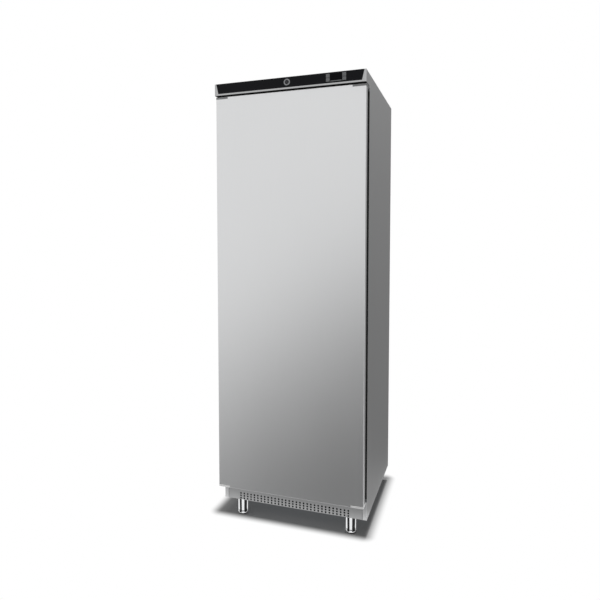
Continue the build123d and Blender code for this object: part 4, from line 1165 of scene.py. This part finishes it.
# ---------------------------------------------------------------- machine compartment and back
class FREEZER_OT_machine_bay(bpy.types.Operator):
    """Finish the compressor, condenser, fan, drier and pipes low at the back"""

    bl_idname = "freezer.machine_bay"
    bl_label = "Machine compartment"

    def execute(self, context):
        eased_node("compressor", 0.004, 3)
        eased_node("compressor_mounts", 0.0015)
        eased_node("terminal_cover", 0.0010)
        eased_node("fan_cowl", 0.0003)
        eased_node("fan_motor", 0.0008)
        eased_node("condenser", 0.0004)
        eased_node("refrigerant_pipes", 0.0009)
        self.add_drier()
        self.add_fan()
        return {"FINISHED"}

    def add_drier(self):
        """The filter drier: a fat copper capsule drawn down to a neck at both ends."""
        low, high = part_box("filter_drier")
        middle = (low + high) / 2
        radius = (high.x - low.x) / 2
        neck, shoulder = 0.004, 0.010
        length = high.z - low.z
        profile = [
            (0.0, 0.0),
            (neck, 0.0),
            (neck, 0.75 * shoulder),
            (0.6 * radius, shoulder),
            (0.9 * radius, 1.35 * shoulder),
            (radius, 2.0 * shoulder),
            (radius, length - 2.0 * shoulder),
            (0.9 * radius, length - 1.35 * shoulder),
            (0.6 * radius, length - shoulder),
            (neck, length - 0.75 * shoulder),
            (neck, length),
            (0.0, length),
        ]
        mesh = turned("filter_drier_turned", profile, Vector((middle.x, middle.y, low.z)), 32)
        piece("filter_drier_turned", mesh, finishes["copper"], "cabinet", ("filter_drier",))

    def add_fan(self):
        """The condenser fan: one pressed blade, set round the hub by a recipe."""
        low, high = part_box("fan_blade")
        joints = record["behaviour"]["joints"]
        spin = next(joint["pos_m"] for joint in joints if joint["name"] == "fan_spin")
        hub, bore, half, count = 0.0220, 0.0040, 0.010, 5
        reach = 0.985 * (high.z - low.z) / 2
        pattern = bpy.data.objects.new("blade_pattern", self.blade(hub, reach))
        tree = Recipe(
            "fan",
            {
                "Blades": count,
                "Pattern": pattern,
                "Centre": tuple(spin),
                "Material": finishes["fan_aluminium"],
            },
        )
        shape = tree.step("ObjectInfo", output="Geometry", Object=tree["Pattern"])
        points = tree.step("Points", Count=tree["Blades"])
        angle = tree.vector(Y=tree.step("InputIndex") * (2 * math.pi / count))
        blades = tree.step("InstanceOnPoints", Points=points, Instance=shape, Rotation=angle)
        whole = tree.step("JoinGeometry", Geometry=[blades, tree["Geometry"]])
        placed = tree.step("Transform", Geometry=whole, Translation=tree["Centre"])
        profile = [
            (bore, half),
            (bore, 0.0),
            (0.0, 0.0),
            (0.0, -half),
            (0.8 * hub, -half),
            (hub, -0.7 * half),
            (hub, half),
            (bore, half),
        ]
        cup = turned("fan_hub", profile, ORIGIN, 36, REARWARD, UP)
        made = tree.run("fan_pressed", cup, placed)
        bpy.data.objects.remove(pattern)
        piece("fan_pressed", smoothed(made), None, "fan", ("fan_blade",))

    def blade(self, hub, reach):
        """One blade from hub to tip: it widens, twists flatter and curls along its chord."""
        stations, chords = 7, 6
        sheet, root = 0.0014, hub - 0.004
        shape = bmesh.new()
        rows = []
        for station in range(stations):
            out = station / (stations - 1)
            radius = root + out * (reach - root)
            width = 0.024 + 0.022 * math.sin(0.9 * math.pi * (0.25 + 0.65 * out))
            pitch = math.radians(34 - 12 * out)
            row = []
            for step in range(chords):
                across = step / (chords - 1) - 0.5
                sweep = across * width
                curl = 0.0035 * (1 - 4 * across * across)
                tip = 1.0 - 0.5 * max(0.0, out - 0.8) * (2 * across) ** 2
                along = 0.9 * (curl - sweep * math.sin(pitch))
                row.append(shape.verts.new((radius * tip, along, sweep * math.cos(pitch))))
            rows.append(row)
        for inner, outer in zip(rows, rows[1:]):
            for step in range(chords - 1):
                shape.faces.new((inner[step], inner[step + 1], outer[step + 1], outer[step]))
        bmesh.ops.recalc_face_normals(shape, faces=shape.faces)
        bmesh.ops.solidify(shape, geom=shape.faces[:], thickness=sheet)
        return to_mesh(shape, "blade_pattern")


class FREEZER_OT_back(bpy.types.Operator):
    """Finish the rear grille, its screws and the mains inlet"""

    bl_idname = "freezer.back"
    bl_label = "Back"

    def execute(self, context):
        for node in ("rear_grille", "inlet_plate"):
            eased_node(node, 0.0003)
        self.add_inlet()
        self.add_screws()
        return {"FINISHED"}

    def add_inlet(self):
        """The mains inlet, with its three pins in bright metal."""
        inlet = eased_node("cord_inlet", 0.0003)
        low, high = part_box("cord_inlet")
        centre = (low + high) / 2
        floor, lip, half_width, half_height = 0.007, 0.002, 0.0095, 0.0065

        def is_pin(face):
            spot = face.center
            deep = low.y + floor < spot.y < high.y - lip
            off_x, off_z = abs(spot.x - centre.x), abs(spot.z - centre.z)
            return deep and off_x < half_width and off_z < half_height

        second_finish(inlet, finishes["zinc"], is_pin)

    def screw_places(self):
        """The middle of each frame screw, found as the separate islands of their one mesh."""
        shape = bmesh.new()
        shape.from_mesh(frame["nodes"]["rear_screws"].data)
        bmesh.ops.remove_doubles(shape, verts=shape.verts, dist=WELD)
        places = []
        waiting = dict.fromkeys(shape.verts)
        while waiting:
            group, edge = [], [waiting.popitem()[0]]
            while edge:
                vert = edge.pop()
                group.append(vert)
                for link in vert.link_edges:
                    other = link.other_vert(vert)
                    if other in waiting:
                        del waiting[other]
                        edge.append(other)
            places.append(sum((vert.co for vert in group), Vector()) / len(group))
        shape.free()
        return places

    def add_screws(self):
        """A pan head with a black cross for its recess, painted shade, set where each frame screw
        is.
        """
        places = self.screw_places()
        low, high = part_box("rear_screws")
        rise, radius = (high.y - low.y) / 2, 0.0038
        profile = [
            (0.0, -rise),
            (radius, -rise),
            (radius, -0.2 * rise),
            (0.82 * radius, 0.55 * rise),
            (0.5 * radius, 0.95 * rise),
            (0.0, rise),
        ]
        arm, half = 0.6 * radius, 0.12 * radius
        bottom, top = 0.4 * rise, 0.985 * rise
        head = turned("screw_head", profile, ORIGIN, 16, REARWARD, UP)
        cross = box_mesh(
            "screw_recess",
            ((-arm, bottom, -half), (arm, top, half)),
            ((-half, bottom, -arm), (half, top, arm)),
        )
        heads = copies("rear_screws_turned", head, places, finishes["zinc"])
        piece("rear_screws_turned", heads, None, "cabinet", ("rear_screws",), "zinc")
        # Each head carries a black cross: painted shade where its recess is.
        recesses = copies("rear_screws_recess", cross, places, finishes["cover_black"])
        piece("rear_screws_recess", recesses, None, "cabinet", slot="cover_black")


# ---------------------------------------------------------------- studio
# A reflected card's corners, and its tone at each stop of the grade across it.
FRONT_CARD = [(-9.0, -0.39, 0.004), (-9.0, -6.6, 1.55), (0.6, -6.6, 1.55), (0.6, -0.39, 0.004)]
FRONT_TONES = (
    (0.0, 0.235),
    (0.09, 0.30),
    (0.20, 0.41),
    (0.345, 0.58),
    (0.52, 0.76),
    (0.77, 0.93),
    (1.0, 1.0),
)
SIDE_CARD = [
    (0.32, -0.06, 0.012),
    (4.0, -0.06, 0.012),
    (4.0, 1.0, 0.02),
    (0.32, 1.0, 0.02),
    (4.0, 1.6, 3.4),
    (0.32, 1.6, 3.4),
]
SIDE_TONES = (
    (0.0, 0.42),
    (0.08, 0.31),
    (0.18, 0.30),
    (0.35, 0.32),
    (0.65, 0.38),
    (0.85, 0.46),
    (1.0, 0.6),
)
FLAG_TONES = ((0.0, 0.03), (1.0, 0.03))
WHITE = (1.0, 1.0, 1.0)


class FREEZER_OT_studio(bpy.types.Operator):
    """Set the floor, the room, the lamps and the camera"""

    bl_idname = "freezer.studio"
    bl_label = "Studio"

    def execute(self, context):
        stage = context.scene.freezer_stage
        context.scene.view_settings.view_transform = "Standard"
        self.add_camera(context.scene, stage)
        self.add_room(context.scene, stage)
        self.add_floor(stage)
        self.add_lamps(stage)
        self.add_card(
            "card_front", FRONT_CARD, lambda x, y, z: (-0.29 - y - 3.6 * x) * (1 / 9.0), FRONT_TONES
        )
        self.add_card("card_side", SIDE_CARD, lambda x, y, z: (y - 0.22 + z) * 0.25, SIDE_TONES)
        for foot in ("foot_front_left", "foot_front_right"):
            self.add_flags(foot, stage)
        return {"FINISHED"}

    def add_camera(self, scene, stage):
        data = bpy.data.cameras.new("camera")
        data.sensor_width = 36.0
        data.sensor_fit = "HORIZONTAL"
        data.lens = stage.lens
        data.shift_x, data.shift_y = stage.shift
        data.clip_end = 50.0
        camera = put("camera", data)
        camera.location = stage.camera
        camera.rotation_euler = (math.pi / 2 - stage.tilt, 0.0, stage.turn)
        scene.camera = camera

    def seen(self, graph):
        """1 for what the camera sees directly, in a reflection or through glass, else 0."""
        ways = ("Is Camera Ray", "Is Glossy Ray", "Is Transmission Ray")
        direct, mirrored, through = graph.node("ShaderNodeLightPath", output=ways)
        return graph.maths("MINIMUM", direct + mirrored + through, 1.0)

    def add_room(self, scene, stage):
        """An even white room, which lights the object less than it shows."""
        world = bpy.data.worlds.new("room")
        world.use_nodes = True
        graph = Graph(world.node_tree)
        graph.tree.nodes.clear()
        strength = stage.sky + (1.0 - stage.sky) * self.seen(graph)
        light = graph.node("ShaderNodeBackground", None, {"Color": WHITE, "Strength": strength})
        graph.node("ShaderNodeOutputWorld", None, {"Surface": light})
        scene.world = world

    def split(self, f):
        """The place's three coordinates."""
        return f.node("ShaderNodeSeparateXYZ", None, {0: f.place}, output=(0, 1, 2))

    def add_floor(self, stage):
        """A floor, white away from the object, whose shadow patch is a dark matt: partly the lamps'
        shadow, partly painted shadow; it fades into the white room.
        """
        shape = bmesh.new()
        bmesh.ops.create_circle(shape, cap_ends=True, segments=96, radius=9.0)
        floor = put("floor", to_mesh(shape, "floor"))
        f = Finish("pale_floor")
        apart = []
        for along, low, high in zip(self.split(f), stage.shadow_low, stage.shadow_high):
            offset = along - (low + high) / 2
            beyond = f.maths("ABSOLUTE", offset) - (high - low) / 2
            apart.append(f.maths("MAXIMUM", beyond, 0.0))
        far = (apart[0] * apart[0] + apart[1] * apart[1]) ** 0.5
        fade = f.node(
            "ShaderNodeMapRange",
            {"interpolation_type": "SMOOTHSTEP"},
            {"Value": far, "From Min": 0.0, "From Max": stage.shadow_edge},
        )
        # The matt floor is dark at the floor tone: painted shadow under the lamps' own shadow.
        matt = f.node("ShaderNodeBsdfDiffuse", None, {"Color": (stage.floor,) * 3})
        glow = f.node("ShaderNodeEmission", None, {"Color": WHITE, "Strength": 1.0})
        # Reflections see the floor white everywhere, the shadow patch too: painted light in
        # reflections.
        mirrored = f.node("ShaderNodeLightPath", output="Is Glossy Ray")
        share = f.maths("MAXIMUM", mirrored, fade * self.seen(f))
        mix = f.node("ShaderNodeMixShader", None, {0: share, 1: matt, 2: glow})
        f.node("ShaderNodeOutputMaterial", None, {"Surface": mix})
        floor.data.materials.append(f.material)

    def add_lamp(self, name, kind, place, aim):
        """A lamp that shapes and shadows the object and shows in no reflection."""
        data = bpy.data.lights.new(name, kind)
        lamp = put(name, data)
        lamp.location = place
        lamp.rotation_euler = (Vector(aim) - Vector(place)).to_track_quat("-Z", "Y").to_euler()
        lamp.visible_glossy = False
        return data

    def add_lamps(self, stage):
        """A lamp nearly overhead and a large soft one on the left."""
        sun = self.add_lamp("overhead", "SUN", place=(0.10, 0.16, 3.0), aim=(0.0, 0.0, 0.0))
        sun.energy = stage.sun
        sun.angle = math.radians(5.0)
        key = self.add_lamp("key", "AREA", place=(-1.3, -2.4, 3.1), aim=(0.0, 0.0, 0.9))
        key.shape = "RECTANGLE"
        key.size, key.size_y = 2.4, 2.0
        key.energy = stage.key_power

    def add_flags(self, foot, stage):
        """Two small dark flags beside a front foot, which its plating shows as upright bands."""
        low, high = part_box(foot)
        centre = (low + high) / 2
        towards = math.atan2(stage.camera[1] - centre.y, stage.camera[0] - centre.x)
        near_out, far_out, off_floor, taper = 0.021, 0.036, 0.0015, 0.7
        top = Vector((0.0, 0.0, 0.066))
        for index, (turn, half) in enumerate(((58.0, 0.026), (-50.0, 0.016))):
            angle = towards + math.radians(turn)
            out = Vector((math.cos(angle), math.sin(angle), 0.0))
            across = Vector((-out.y, out.x, 0.0)) * half
            foot_place = Vector((centre.x, centre.y, off_floor))
            near, far = foot_place + out * near_out, foot_place + out * far_out
            corners = [
                near - across * taper,
                near + across * taper,
                far + across,
                far - across,
                far + across + top,
                far - across + top,
            ]
            name = f"flag_{foot}_{index}"
            self.add_card(name, [tuple(corner) for corner in corners], lambda x, y, z: z, FLAG_TONES)

    def add_card(self, name, corners, grade, tones):
        """A graded card that only reflections show, of four corners and two more for each fold."""
        mesh = bpy.data.meshes.new(name)
        sides = [(0, 1, 2, 3)]
        for first in range(4, len(corners), 2):
            before = (3, 2) if first == 4 else (first - 1, first - 2)
            sides.append((*before, first, first + 1))
        mesh.from_pydata(corners, [], sides)
        card = put(name, mesh)
        f = Finish(name)
        shade = f.node("ShaderNodeValToRGB", {"stops": tones}, {0: grade(*self.split(f))})
        glow = f.node("ShaderNodeEmission", None, {"Color": shade, "Strength": 1.0})
        f.node("ShaderNodeOutputMaterial", None, {"Surface": glow})
        mesh.materials.append(f.material)
        card.visible_camera = False
        card.visible_diffuse = False
        card.visible_shadow = False
        card.visible_transmission = False


# ---------------------------------------------------------------- add-on
OPERATORS = (
    FREEZER_OT_finishes,
    FREEZER_OT_cabinet,
    FREEZER_OT_door,
    FREEZER_OT_kick_plate,
    FREEZER_OT_controller,
    FREEZER_OT_lock,
    FREEZER_OT_feet,
    FREEZER_OT_shelves,
    FREEZER_OT_machine_bay,
    FREEZER_OT_back,
    FREEZER_OT_studio,
)


class FREEZER_PT_panel(bpy.types.Panel):
    """Buttons for the freezer's pieces, with their sizes and colours"""

    bl_idname = "FREEZER_PT_panel"
    bl_label = "Upright freezer"
    bl_space_type = "VIEW_3D"
    bl_region_type = "UI"
    bl_category = "Freezer"

    def draw(self, context):
        for operator in OPERATORS:
            self.layout.operator(operator.bl_idname)
        for setting, group in SETTINGS.items():
            values = getattr(context.scene, setting)
            box = self.layout.box()
            box.label(text=group.__doc__)
            for name in group.__annotations__:
                box.prop(values, name)


CLASSES = (*SETTINGS.values(), *OPERATORS, FREEZER_PT_panel)


def register():
    for one in CLASSES:
        bpy.utils.register_class(one)
    for setting, group in SETTINGS.items():
        setattr(bpy.types.Scene, setting, PointerProperty(type=group))


def unregister():
    for setting in SETTINGS:
        delattr(bpy.types.Scene, setting)
    for one in reversed(CLASSES):
        bpy.utils.unregister_class(one)


def main():
    register()
    for operator in OPERATORS:
        group, name = operator.bl_idname.split(".")
        getattr(getattr(bpy.ops, group), name)()


if __name__ == "__main__":
    main()
